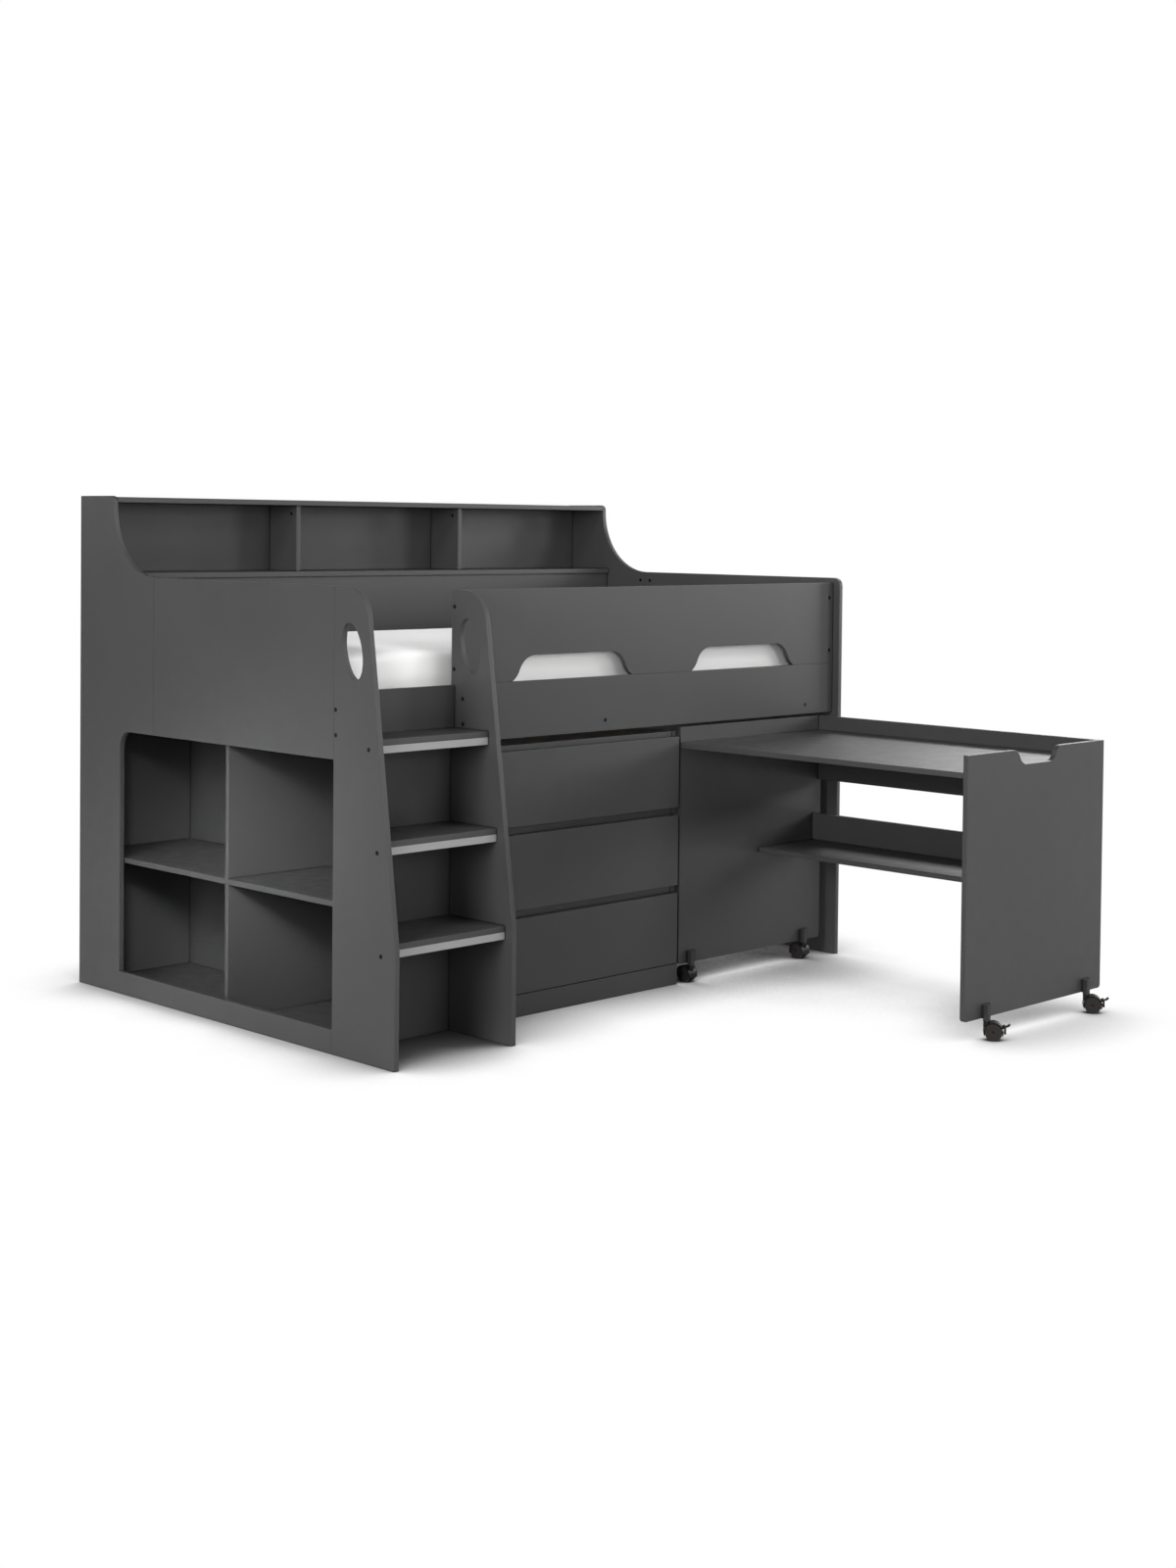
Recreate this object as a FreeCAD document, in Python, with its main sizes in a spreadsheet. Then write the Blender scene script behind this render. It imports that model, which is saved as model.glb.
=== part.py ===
import FreeCAD, Part
import math
import os
import Sketcher

# A mid sleeper bed of flat boards: a raised bed with a bookcase along its back, a ladder between two
# shaped side boards, cubbyholes in the left end, a chest of drawers under the front rail, and a desk
# on casters that rolls out of the bay beside the chest.
# +X runs along the bed towards the desk, +Y to the back and +Z up. The origin is on the floor, below
# the middle of the whole, with the desk pulled out. All sizes are in millimetres.

SIZES = {
    # boards and outline of the bed
    "board": 15,
    "bed_length": 1950,
    "bed_depth": 1170,          # face of the front rail to the back edge of the ends
    "side_height": 1162,        # low part of both ends
    "end_curve": 200,           # radius of the hollow that rises to the bookcase
    "top_straight": 23,         # upright edge above that hollow
    "top_corner": 18,
    "rear_panel_width": 367,    # rear board of each end
    # opening in the left end, and the right end's front board
    "sill_height": 62,
    "opening_top": 732,
    "upright_width": 205,       # board left behind the opening
    "opening_corner": 42,
    "end_overhang": 25,         # right end in front of the rail
    "end_corner": 25,
    # ladder
    "ladder_width": 369,        # clear width between the two side boards
    "stile_foot": 226,          # their reach in front of the rail at the floor
    "foot_height": 298,         # upright part of their front edge
    "stile_reach": 105,         # their reach at the top, before rounding
    "stile_corner": 88,
    "hole_width": 72,
    "hole_height": 144,
    "hole_tilt": 14.5,          # lean of the holes, as the boards' front edge leans
    "left_hole_drop": 159,      # middle of each hand hole below its board's top
    "right_hole_drop": 144,
    "hole_setback": 56,         # and in front of the rail
    "first_tread_height": 302,
    "tread_rise": 244,
    "tread_setback": 27,        # tread behind the side boards' front edge
    "batten_height": 19,
    "batten_depth": 18,
    # front rail and guard
    "rail_bottom": 749,
    "rail_height": 151,
    "guard_height": 247,
    "slot_depth": 68,
    "slot_run": 114,            # length of the whole S at each side of a hand slot
    "slot_foot": 8,             # level foot of the S below the guard's edge
    "slot_margin": 188,
    "slot_gap": 245,
    # bookcase and back
    "shelf_rise": 8,            # bookcase shelf above the low part of the ends
    "bookcase_depth": 198,
    "divider_setback": 45,
    "panel_setback": 8,         # panel behind the mattress, back from the shelf's edge
    "back_inset": 6,
    "top_drop": 3,
    "brace_bottom_height": 120,
    "brace_height": 150,
    # slatted base and mattress
    "slat_top_height": 842,
    "slat_thickness": 15,
    "slat_width": 70,
    "slat_count": 13,
    "slat_end_gap": 40,
    "slat_rail_width": 30,
    "slat_rail_height": 30,
    "soft_gap": 0.3,
    "mattress_thickness": 150,
    "mattress_end_gap": 10,
    "mattress_front_gap": 20,
    "mattress_rear_gap": 46,
    "mattress_corner": 70,
    "mattress_waist": 6,        # how far each side is drawn in between its corners
    "mattress_edge": 12,
    "mattress_crown": 6,
    "crown_inset": 220,
    # cubbyholes
    "cubby_depth": 350,
    "cubby_shelf_height": 363,
    "cubby_setback": 2,
    "back_rail_height": 84,
    "cubby_base_thickness": 8,
    # chest of drawers
    "chest_width": 846,
    "chest_depth": 450,
    "chest_headroom": 20,
    "plinth_height": 60,
    "plinth_setback": 2,
    "rail_joint": 2,            # open joint between the cross rails and the right side
    "rail_lap": 9,              # cross rails behind the fronts' edges
    "front_gap": 2,             # drawer fronts before the carcass
    "front_margin": 3,          # drawer fronts within the chest's width
    "top_reveal": 0,
    "finger_gap": 22,
    "back_board": 3,
    "drawer_depth": 400,
    "drawer_side": 12,
    "drawer_bottom": 6,
    "drawer_wall": 140,
    "drawer_lift": 24,          # drawer box above its front's lower edge
    "bottom_lift": 10,
    "runner_gap": 13,           # carcass side to drawer side
    "runner_height": 36,
    "runner_depth": 9,
    "runner_lip": 6,
    "runner_web": 3,
    "runner_play": 0.3,
    # desk
    "desk_length": 1009,
    "desk_tuck": 20,            # inner panel's reach behind the rail's face, pulled out
    "desk_side_gap": 8,
    "desk_far_gap": 42,
    "desk_headroom": 9,
    "desk_lip": 45,             # ends and back above the desk's top
    "desk_back": 197,
    "desk_corner": 10,
    "desk_shelf_height": 360,
    "desk_shelf_depth": 265,
    "shelf_rail_inset": 25,
    "shelf_rail_height": 82,
    "notch_width": 230,
    "notch_run": 60,
    "notch_depth": 40,
    # casters
    "caster_inset": 85,
    "inner_left_inset": 44,     # the caster beside the chest
    "wheel_radius": 22.5,
    "wheel_width": 13,
    "axle_radius": 3,
    "wheel_gap": 1,             # wheel clear of the web beside it
    "trail": 17,
    "hood_web": 8,
    "hood_gap": 1.2,
    "hood_wall": 2,
    "hood_drop": 9,             # hood's lower edge below the axle
    "stem_radius": 4,
    "stem_offset": 10,          # stem before the panel's face
    "housing_radius": 9,
    "housing_height": 14,
    "swivel_gap": 6.8,          # panel above the hood
    "running_gap": 0.05,
    "bracket_width": 38,
    "bracket_height": 35,
    "bracket_plate": 3,
    "bracket_side": 10,         # plate past the stem on its short side
    "boss_width": 14,
    "boss_web": 8,
    "outer_turn": -53,
    "inner_turn": 90,
    # brakes on the outer casters
    "brake_angle": 26,
    "brake_offset": 4.8,
    "brake_pin": 1.5,
    "barrel_radius": 3,
    "barrel_width": 9,
    "ear_gap": 0.5,
    "ear_width": 2,
    "ear_height": 7,
    "horn_start": 2,            # brake lever's curved horn, beyond its pin
    "horn_radius": 16,
    "horn_sweep": 55,
    "horn_thickness": 3,
    "tab_sweep": 16,            # where the horn widens to a tab
    "tab_width": 16,
    "toe_reach": 19,            # brake toe below its pin
    "toe_height": 6,
    "toe_thickness": 5,
    "toe_slot": 1.5,            # depth of the hood's slot below the treads
    "toe_play": 0.6,
}

# Places that follow from the sizes above.
LAYOUT = {
    "left_out": "-Sizes.bed_length / 2",
    "left_in": "left_out + Sizes.board",
    "right_out": "Sizes.bed_length / 2",
    "right_in": "right_out - Sizes.board",
    "inner_length": "right_in - left_in",
    "stile_x": "left_in + Sizes.ladder_width",
    "front_x": "stile_x + Sizes.board",
    "front_length": "right_in - front_x",
    "hood_radius": "Sizes.wheel_radius + Sizes.hood_gap + Sizes.hood_wall",
    "pivot_radius": "hood_radius + Sizes.brake_offset",
    "pivot_u": "Sizes.trail + pivot_radius * cos(Sizes.brake_angle)",
    "pivot_z": "Sizes.wheel_radius + pivot_radius * sin(Sizes.brake_angle)",
    "horn_outer": "Sizes.horn_radius + Sizes.horn_thickness / 2",
    "brake_tip": "pivot_u + Sizes.horn_start + horn_outer * sin(Sizes.horn_sweep)",
    "brake_reach": "brake_tip * sin(-Sizes.outer_turn) + Sizes.tab_width / 2 * cos(Sizes.outer_turn)",
    "desk_out": "Sizes.desk_length - Sizes.desk_tuck",
    "desk_reach": "desk_out + Sizes.stem_offset + brake_reach",
    "face_y": "(desk_reach - Sizes.bed_depth) / 2",
    "inner_y": "face_y + Sizes.board",
    "rear_y": "face_y + Sizes.bed_depth",
    "seam_y": "rear_y - Sizes.rear_panel_width",
    "opening_y": "rear_y - Sizes.upright_width",
    "shelf_y": "rear_y - Sizes.bookcase_depth",
    "rear_panel_y": "shelf_y + Sizes.panel_setback",
    "top_y": "seam_y + Sizes.end_curve",
    "shelf_height": "Sizes.side_height + Sizes.shelf_rise",
    "end_height": "Sizes.side_height + Sizes.end_curve + Sizes.top_straight",
    "top_under": "end_height - Sizes.top_drop - Sizes.board",
    "back_y": "rear_y - Sizes.back_inset - Sizes.board",
    "bay_width": "(inner_length - 2 * Sizes.board) / 3",
    "rail_top": "Sizes.rail_bottom + Sizes.rail_height",
    "guard_top": "rail_top + Sizes.guard_height",
    "slot_length": "(front_length - 2 * Sizes.slot_margin - Sizes.slot_gap) / 2",
    "slot_rise": "Sizes.slot_depth + Sizes.slot_foot",
    "slot_radius": "(Sizes.slot_run ^ 2 + slot_rise ^ 2) / (4 * slot_rise)",
    "slot_lost": "sqrt(2 * slot_radius * Sizes.slot_foot - Sizes.slot_foot ^ 2)",
    "slot_side": "Sizes.slot_run - slot_lost",
    "wall_y": "inner_y + Sizes.board",
    "cubby_rear": "rear_y - Sizes.board",
    "cubby_span": "cubby_rear - wall_y",
    "cubby_middle": "(face_y + opening_y - Sizes.board) / 2",
    "cubby_x": "left_in + Sizes.cubby_setback",
    "cubby_back": "left_in + Sizes.cubby_depth",
    "slat_under": "Sizes.slat_top_height - Sizes.slat_thickness",
    "slat_span": "rear_panel_y - inner_y",
    "slat_pitch": "(inner_length - 2 * Sizes.slat_end_gap - Sizes.slat_width) / (Sizes.slat_count - 1)",
    "mattress_a": "inner_length / 2 - Sizes.mattress_end_gap",
    "mattress_b": "(slat_span - Sizes.mattress_front_gap - Sizes.mattress_rear_gap) / 2",
    "chest_end": "front_x + Sizes.chest_width",
    "chest_height": "Sizes.rail_bottom - Sizes.chest_headroom",
    "chest_y": "inner_y + Sizes.front_gap",
    "chest_inner": "Sizes.chest_width - 2 * Sizes.board",
    "front_foot": "Sizes.plinth_height + Sizes.front_gap",
    "front_zone": "chest_height - Sizes.board - Sizes.top_reveal - front_foot",
    "front_height": "(front_zone - 2 * Sizes.finger_gap) / 3",
    "front_pitch": "front_height + Sizes.finger_gap",
    "box_x": "front_x + Sizes.board + Sizes.runner_gap",
    "box_width": "chest_inner - 2 * Sizes.runner_gap",
    "runner_bar": "Sizes.runner_gap - Sizes.runner_web - Sizes.runner_play",
    "groove_height": "Sizes.runner_height - 2 * Sizes.runner_lip",
    "bar_height": "groove_height - 2 * Sizes.runner_play",
    "desk_left": "chest_end + Sizes.desk_side_gap",
    "desk_right": "right_in - Sizes.desk_far_gap",
    "desk_width": "desk_right - desk_left",
    "desk_height": "Sizes.rail_bottom - Sizes.desk_headroom",
    "desk_top_height": "desk_height - Sizes.desk_lip",
    "desk_clear": "Sizes.wheel_radius + hood_radius + Sizes.swivel_gap",
    "outer_y": "face_y - desk_out",
    "desk_inner": "outer_y + Sizes.board",
    "panel_y": "outer_y + Sizes.desk_length - Sizes.board",
    "desk_span": "panel_y - desk_inner",
    "shelf_x": "desk_right - Sizes.shelf_rail_inset - Sizes.desk_shelf_depth",
    "hood_top": "desk_clear - Sizes.swivel_gap + Sizes.running_gap",
    "stem_top": "desk_clear + Sizes.bracket_height",
    "half_web": "Sizes.hood_web / 2",
    "wheel_in": "half_web + Sizes.wheel_gap",
    "wheel_out": "wheel_in + Sizes.wheel_width",
    "ear_in": "Sizes.barrel_width / 2 + Sizes.ear_gap",
}

# Index of a plane's two directions, and of its normal.
PLANES = {"XY_Plane": (0, 1, 2), "XZ_Plane": (0, 2, 1), "YZ_Plane": (1, 2, 0)}
NEAR = 0.01

doc = FreeCAD.newDocument("MidSleeperBed")
sizes = doc.addObject("Spreadsheet::Sheet", "Sizes")
for row, (alias, number) in enumerate(SIZES.items(), start=1):
    sizes.set(f"A{row}", str(number))
    sizes.setAlias(f"A{row}", alias)
layout = doc.addObject("Spreadsheet::Sheet", "Layout")
for row, (alias, formula) in enumerate(LAYOUT.items(), start=1):
    layout.set(f"A{row}", "=" + formula)
    layout.setAlias(f"A{row}", alias)
doc.recompute()
nodes = []


def value(formula):
    """Works out a formula on the two sheets."""
    return float(layout.evalExpression(formula))


def bind(item, formulas):
    """Ties properties of an object to formulas on the sheets."""
    for name, formula in formulas.items():
        item.setExpression(name, formula)


def place(item, x="0", y="0", z="0"):
    """Ties an object's place to formulas on the sheets."""
    bind(item, {"Placement.Base.x": x, "Placement.Base.y": y, "Placement.Base.z": z})


def node(item, label):
    """Makes an object a sub-part with this name."""
    item.Label = label
    nodes.append(item)
    return item


def box(label, x, y, z, length, width, height):
    """A rectangular board, by its low corner and its size along X, Y and Z."""
    item = doc.addObject("Part::Box", label)
    bind(item, {"Length": length, "Width": width, "Height": height})
    place(item, x, y, z)
    return item


def board(label, *corner_and_size):
    """A rectangular board that is a sub-part by itself."""
    return node(box(label, *corner_and_size), label)


def rod(label, radius, length, x, y, z, direction):
    """A round rod from a point, along a direction."""
    item = doc.addObject("Part::Cylinder", label)
    item.Placement.Rotation = FreeCAD.Rotation(FreeCAD.Vector(0, 0, 1), direction)
    bind(item, {"Radius": radius, "Height": length})
    place(item, x, y, z)
    return item


def group(label, items):
    """Like pieces that share one sub-part, each a solid of its own."""
    item = doc.addObject("Part::Compound", label)
    item.Links = items
    return node(item, label)


def join(label, items):
    """Pieces that are one solid."""
    item = doc.addObject("Part::MultiFuse", label)
    item.Shapes = items
    return item


def cut(label, base, tool):
    """One piece with another taken out of it."""
    item = doc.addObject("Part::Cut", label)
    item.Base = base
    item.Tool = tool
    return item


def arc_between(start, end, radius, turn):
    """The arc of under half a circle between two points, anticlockwise for a turn of 1."""
    chord = end - start
    middle = (start + end) * 0.5
    offset = math.sqrt(max(radius ** 2 - (chord.Length / 2) ** 2, 0))
    side = FreeCAD.Vector(-chord.y, chord.x, 0) * (turn * offset / chord.Length)
    centre = middle + side
    first, last = (start, end) if turn > 0 else (end, start)
    angles = [math.atan2(point.y - centre.y, point.x - centre.x) for point in (first, last)]
    return Part.ArcOfCircle(Part.Circle(centre, FreeCAD.Vector(0, 0, 1), radius), *angles)


def attach(body, name, plane):
    """An empty sketch on one of a body's own planes."""
    sketch = body.newObject("Sketcher::SketchObject", name)
    support = [item for item in body.Origin.OriginFeatures if item.Role == plane][0]
    sketch.AttachmentSupport = (support, [""])
    sketch.MapMode = "FlatFace"
    return sketch


def constrain(sketch, kind, *target, formula):
    """Adds a dimension to a sketch and ties it to a formula."""
    index = sketch.addConstraint(Sketcher.Constraint(kind, *target, value(formula)))
    sketch.setExpression(f"Constraints[{index}]", formula)


def profile(body, name, plane, outline):
    """Draws a closed outline, anticlockwise: each step is the corner (u, v) that a straight edge runs to,
    or (u, v, radius, turn) where an arc runs there."""
    sketch = attach(body, name, plane)
    points = [FreeCAD.Vector(value(step[0]), value(step[1]), 0) for step in outline]
    ends = []
    for index, step in enumerate(outline):
        start, end = points[index - 1], points[index]
        if len(step) == 2:
            sketch.addGeometry(Part.LineSegment(start, end), False)
            ends.append((1, 2))
        else:
            sketch.addGeometry(arc_between(start, end, value(step[2]), step[3]), False)
            ends.append((1, 2) if step[3] > 0 else (2, 1))
    for index in range(len(outline)):
        after = (index + 1) % len(outline)
        joint = (index, ends[index][1], after, ends[after][0])
        sketch.addConstraint(Sketcher.Constraint("Coincident", *joint))
    for index, step in enumerate(outline):
        for kind, axis, formula in (("DistanceX", -2, step[0]), ("DistanceY", -1, step[1])):
            if formula == "0":
                sketch.addConstraint(Sketcher.Constraint("PointOnObject", index, ends[index][1], axis))
            else:
                constrain(sketch, kind, -1, 1, index, ends[index][1], formula=formula)
        if len(step) > 2:
            constrain(sketch, "Radius", index, formula=step[2])
    return sketch


def ogee(u, v, run, rise, turn):
    """The two equal arcs of an S between level ends: each covers half the run and half the rise."""
    height = f"abs({rise})"
    radius = f"(({run}) ^ 2 + ({rise}) ^ 2) / (4 * {height})"
    middle = (f"{u} + ({run}) / 2", f"{v} + ({rise}) / 2", radius, turn)
    return [middle, (f"{u} + {run}", f"{v} + {rise}", radius, -turn)]


def panel(label, plane, outline, rounded=()):
    """A flat board cut to an outline, from its plane along +X or +Y, with some corners rounded.
    Each rounding is a radius and the corners (u, v) that have it."""
    body = doc.addObject("PartDesign::Body", label)
    sketch = profile(body, label + "_outline", plane, outline)
    pad = body.newObject("PartDesign::Pad", label + "_pad")
    pad.Profile = sketch
    pad.Reversed = plane == "XZ_Plane"
    pad.setExpression("Length", "Sizes.board")
    tip = pad
    for radius, corners in rounded:
        tip = round_corners(body, tip, plane, radius, corners)
    return node(body, label)


def round_corners(body, tip, plane, radius, corners):
    """Rounds the edges that stand on the given corners of an outline."""
    doc.recompute()
    first, second, _ = PLANES[plane]
    found = []
    for u, v in corners:
        corner = (value(u), value(v))
        for number, edge in enumerate(tip.Shape.Edges, start=1):
            ends = [(vertex.Point[first], vertex.Point[second]) for vertex in edge.Vertexes]
            if all(math.dist(end, corner) < NEAR for end in ends):
                found.append(f"Edge{number}")
    fillet = body.newObject("PartDesign::Fillet", tip.Name + "_round")
    fillet.Base = (tip, found)
    fillet.setExpression("Radius", radius)
    return fillet


def left_end():
    """C-shaped rear board with the hollow curve, and the infill board above the opening."""
    depth = "(Layout.rear_y - Layout.inner_y)"
    seam = "(Layout.seam_y - Layout.inner_y)"
    top = "(Layout.top_y - Layout.inner_y)"
    upright = "(Layout.opening_y - Layout.inner_y)"
    outline = [
        ("0", "0"),
        (depth, "0"),
        (depth, "Layout.end_height"),
        (top, "Layout.end_height"),
        (top, "Sizes.side_height + Sizes.end_curve"),
        (seam, "Sizes.side_height", "Sizes.end_curve", -1),
        (seam, "Sizes.opening_top"),
        (upright, "Sizes.opening_top"),
        (upright, "Sizes.sill_height"),
        ("0", "Sizes.sill_height"),
    ]
    rounded = [
        ("Sizes.top_corner", [(top, "Layout.end_height")]),
        ("Sizes.opening_corner", [(upright, "Sizes.opening_top")]),
    ]
    place(panel("left_end_panel", "YZ_Plane", outline, rounded), "Layout.left_out", "Layout.inner_y")
    board("left_infill_panel", "Layout.left_out", "Layout.inner_y", "Sizes.opening_top",
          "Sizes.board", "Layout.seam_y - Layout.inner_y", "Sizes.side_height - Sizes.opening_top")


def right_end():
    """Rear board with the hollow curve, and a plain front board that reaches past the rail."""
    top = "Sizes.end_curve"
    width = "Sizes.rear_panel_width"
    outline = [
        ("0", "0"),
        (width, "0"),
        (width, "Layout.end_height"),
        (top, "Layout.end_height"),
        (top, "Sizes.side_height + Sizes.end_curve"),
        ("0", "Sizes.side_height", "Sizes.end_curve", -1),
    ]
    rounded = [("Sizes.top_corner", [(top, "Layout.end_height")])]
    place(panel("right_rear_panel", "YZ_Plane", outline, rounded), "Layout.right_in", "Layout.seam_y")
    reach = "(Layout.seam_y - Layout.face_y + Sizes.end_overhang)"
    outline = [("0", "0"), (reach, "0"), (reach, "Sizes.side_height"), ("0", "Sizes.side_height")]
    rounded = [("Sizes.end_corner", [("0", "Sizes.side_height")])]
    front = panel("right_front_panel", "YZ_Plane", outline, rounded)
    place(front, "Layout.right_in", "Layout.face_y - Sizes.end_overhang")


def ladder_stile(label, x, height, hole_drop):
    """Ladder side board: upright foot, sloping front edge, rounded top and a leaning oval hand hole."""
    back = "(Sizes.stile_foot + Sizes.board)"
    reach = "(Sizes.stile_foot - Sizes.stile_reach)"
    outline = [("0", "0"), (back, "0"), (back, height), (reach, height), ("0", "Sizes.foot_height")]
    body = panel(label, "YZ_Plane", outline, [("Sizes.stile_corner", [(reach, height)])])
    place(body, x, "Layout.face_y - Sizes.stile_foot")
    hole_y = "Sizes.stile_foot - Sizes.hole_setback"
    hole_z = f"{height} - {hole_drop}"
    middle = FreeCAD.Vector(value(hole_y), value(hole_z), 0)
    back_lean = "Sizes.hole_height * sin(Sizes.hole_tilt)"
    rise = "Sizes.hole_height * cos(Sizes.hole_tilt)"
    long_axis = FreeCAD.Vector(value(back_lean), value(rise), 0)
    upper = middle + long_axis * 0.5
    side = middle + FreeCAD.Vector(long_axis.y, -long_axis.x, 0) * value("Sizes.hole_width / Sizes.hole_height / 2")
    sketch = attach(body, label + "_hole", "YZ_Plane")
    sketch.addGeometry(Part.Ellipse(upper, side, middle), False)
    sketch.exposeInternalGeometry(0)
    constrain(sketch, "DistanceX", -1, 1, 0, 3, formula=hole_y)
    constrain(sketch, "DistanceY", -1, 1, 0, 3, formula=hole_z)
    constrain(sketch, "DistanceX", 1, 2, 1, 1, formula=back_lean)
    constrain(sketch, "DistanceY", 1, 2, 1, 1, formula=rise)
    constrain(sketch, "Distance", 2, formula="Sizes.hole_width")
    pocket = body.newObject("PartDesign::Pocket", label + "_pocket")
    pocket.Profile = sketch
    pocket.Type = "ThroughAll"
    pocket.Reversed = True


def ladder():
    """Two side boards, three treads on light battens, the short rail and the wall behind them."""
    ladder_stile("left_ladder_stile", "Layout.left_out", "Sizes.side_height", "Sizes.left_hole_drop")
    ladder_stile("right_ladder_stile", "Layout.stile_x", "Layout.guard_top", "Sizes.right_hole_drop")
    slope = "(Sizes.stile_foot - Sizes.stile_reach) / (Sizes.side_height - Sizes.foot_height)"
    treads = []
    battens = []
    backs = ("Layout.inner_y", "Layout.inner_y", "Layout.face_y")
    for step, back in enumerate(backs):
        level = f"(Sizes.first_tread_height + {step} * Sizes.tread_rise)"
        lean = f"max(0; ({level} - Sizes.foot_height) * {slope})"
        front = f"(Layout.face_y - Sizes.stile_foot + {lean} + Sizes.tread_setback)"
        under = f"{level} - Sizes.board"
        treads.append(box(f"tread_{step + 1}", "Layout.left_in", front, under,
                          "Sizes.ladder_width", f"{back} - {front}", "Sizes.board"))
        battens.append(box(f"batten_{step + 1}", "Layout.left_in", front, f"{under} - Sizes.batten_height",
                           "Sizes.ladder_width", "Sizes.batten_depth", "Sizes.batten_height"))
    group("ladder_treads", treads)
    group("tread_battens", battens)
    board("ladder_rail", "Layout.left_in", "Layout.face_y", "Sizes.rail_bottom",
          "Sizes.ladder_width", "Sizes.board", "Sizes.rail_height")
    board("ladder_back_panel", "Layout.left_in", "Layout.inner_y", "0",
          "Layout.front_x - Layout.left_in", "Sizes.board", "Sizes.rail_bottom")


def front():
    """Lower rail, and the guard above it with two hand slots in its lower edge. Each side of a slot is an S
    of two equal arcs, whose foot is cut off by the edge."""
    board("front_rail", "Layout.front_x", "Layout.face_y", "Sizes.rail_bottom",
          "Layout.front_length", "Sizes.board", "Sizes.rail_height")
    outline = [("0", "0")]
    bend = "(Sizes.slot_run / 2 - Layout.slot_lost)"
    bend_height = "Layout.slot_rise / 2 - Sizes.slot_foot"
    for start in ("Sizes.slot_margin", "(Sizes.slot_margin + Layout.slot_length + Sizes.slot_gap)"):
        end = f"({start} + Layout.slot_length)"
        outline += [
            (start, "0"),
            (f"{start} + {bend}", bend_height, "Layout.slot_radius", 1),
            (f"{start} + Layout.slot_side", "Sizes.slot_depth", "Layout.slot_radius", -1),
            (f"{end} - Layout.slot_side", "Sizes.slot_depth"),
            (f"{end} - {bend}", bend_height, "Layout.slot_radius", -1),
            (end, "0", "Layout.slot_radius", 1),
        ]
    outline += [("Layout.front_length", "0"), ("Layout.front_length", "Sizes.guard_height"),
                ("0", "Sizes.guard_height")]
    place(panel("front_guard", "XZ_Plane", outline), "Layout.front_x", "Layout.face_y", "Layout.rail_top")


def bookcase():
    """Three open bays along the back, over the panel that closes the bed's rear side."""
    under = "Layout.shelf_height - Sizes.board"
    height = "Layout.top_under - Layout.shelf_height"
    board("bookcase_top", "Layout.left_in", "Layout.top_y", "Layout.top_under",
          "Layout.inner_length", "Layout.rear_y - Layout.top_y", "Sizes.board")
    board("bookcase_shelf", "Layout.left_in", "Layout.shelf_y", under,
          "Layout.inner_length", "Sizes.bookcase_depth", "Sizes.board")
    board("bookcase_back", "Layout.left_in", "Layout.back_y", "Layout.shelf_height",
          "Layout.inner_length", "Sizes.board", height)
    dividers = []
    front = "(Layout.shelf_y + Sizes.divider_setback)"
    for bay in (1, 2):
        x = f"Layout.left_in + {bay} * Layout.bay_width + {bay - 1} * Sizes.board"
        dividers.append(box(f"divider_{bay}", x, front, "Layout.shelf_height",
                            "Sizes.board", f"Layout.back_y - {front}", height))
    group("bookcase_dividers", dividers)
    board("rear_bed_panel", "Layout.left_in", "Layout.rear_panel_y", "Sizes.rail_bottom",
          "Layout.inner_length", "Sizes.board", f"{under} - Sizes.rail_bottom")
    cubbies_wide = "(Sizes.cubby_depth + Sizes.board)"
    board("rear_brace", f"Layout.left_in + {cubbies_wide}", "Layout.rear_y - Sizes.board",
          "Sizes.brace_bottom_height", f"Layout.inner_length - {cubbies_wide}", "Sizes.board", "Sizes.brace_height")


def cubbies():
    """Two by two cubbyholes behind the opening in the left end. They reach further back, down and inwards than
    the opening shows."""
    depth = "Layout.cubby_back - Layout.cubby_x"
    base_top = "Sizes.cubby_base_thickness"
    shelf_top = "(Sizes.cubby_shelf_height + Sizes.board)"
    board("cubby_rear_side", "Layout.left_in", "Layout.cubby_rear", "0",
          "Sizes.cubby_depth + Sizes.board", "Sizes.board", "Sizes.opening_top + Sizes.board")
    board("cubby_base", "Layout.cubby_x", "Layout.wall_y", "0",
          depth, "Layout.cubby_span", base_top)
    board("cubby_shelf", "Layout.cubby_x", "Layout.wall_y", "Sizes.cubby_shelf_height",
          depth, "Layout.cubby_span", "Sizes.board")
    board("cubby_top", "Layout.left_in", "Layout.wall_y", "Sizes.opening_top",
          "Sizes.cubby_depth", "Layout.cubby_span", "Sizes.board")
    lower = box("lower_divider", "Layout.cubby_x", "Layout.cubby_middle", base_top,
                depth, "Sizes.board", f"Sizes.cubby_shelf_height - {base_top}")
    upper = box("upper_divider", "Layout.cubby_x", "Layout.cubby_middle", shelf_top,
                depth, "Sizes.board", f"Sizes.opening_top - {shelf_top}")
    group("cubby_dividers", [lower, upper])
    board("cubby_back_rail", "Layout.cubby_back", "Layout.wall_y", "0",
          "Sizes.board", "Layout.cubby_span", "Sizes.back_rail_height")
    board("cubby_back", "Layout.cubby_back", "Layout.wall_y", "Sizes.back_rail_height",
          "Sizes.board", "Layout.cubby_span",
          "Sizes.opening_top + Sizes.board - Sizes.back_rail_height")


def bed_base():
    """Slats across two rails."""
    rails = []
    for name, y in (("front_slat_rail", "Layout.inner_y"),
                    ("rear_slat_rail", "Layout.rear_panel_y - Sizes.slat_rail_width")):
        rails.append(box(name, "Layout.left_in", y, "Layout.slat_under - Sizes.slat_rail_height",
                         "Layout.inner_length", "Sizes.slat_rail_width", "Sizes.slat_rail_height"))
    group("slat_rails", rails)
    slats = []
    for count in range(int(value("Sizes.slat_count"))):
        x = f"Layout.left_in + Sizes.slat_end_gap + {count} * Layout.slat_pitch"
        slats.append(box(f"slat_{count + 1}", x, "Layout.inner_y", "Layout.slat_under",
                         "Sizes.slat_width", "Layout.slat_span", "Sizes.slat_thickness"))
    group("slats", slats)


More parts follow.
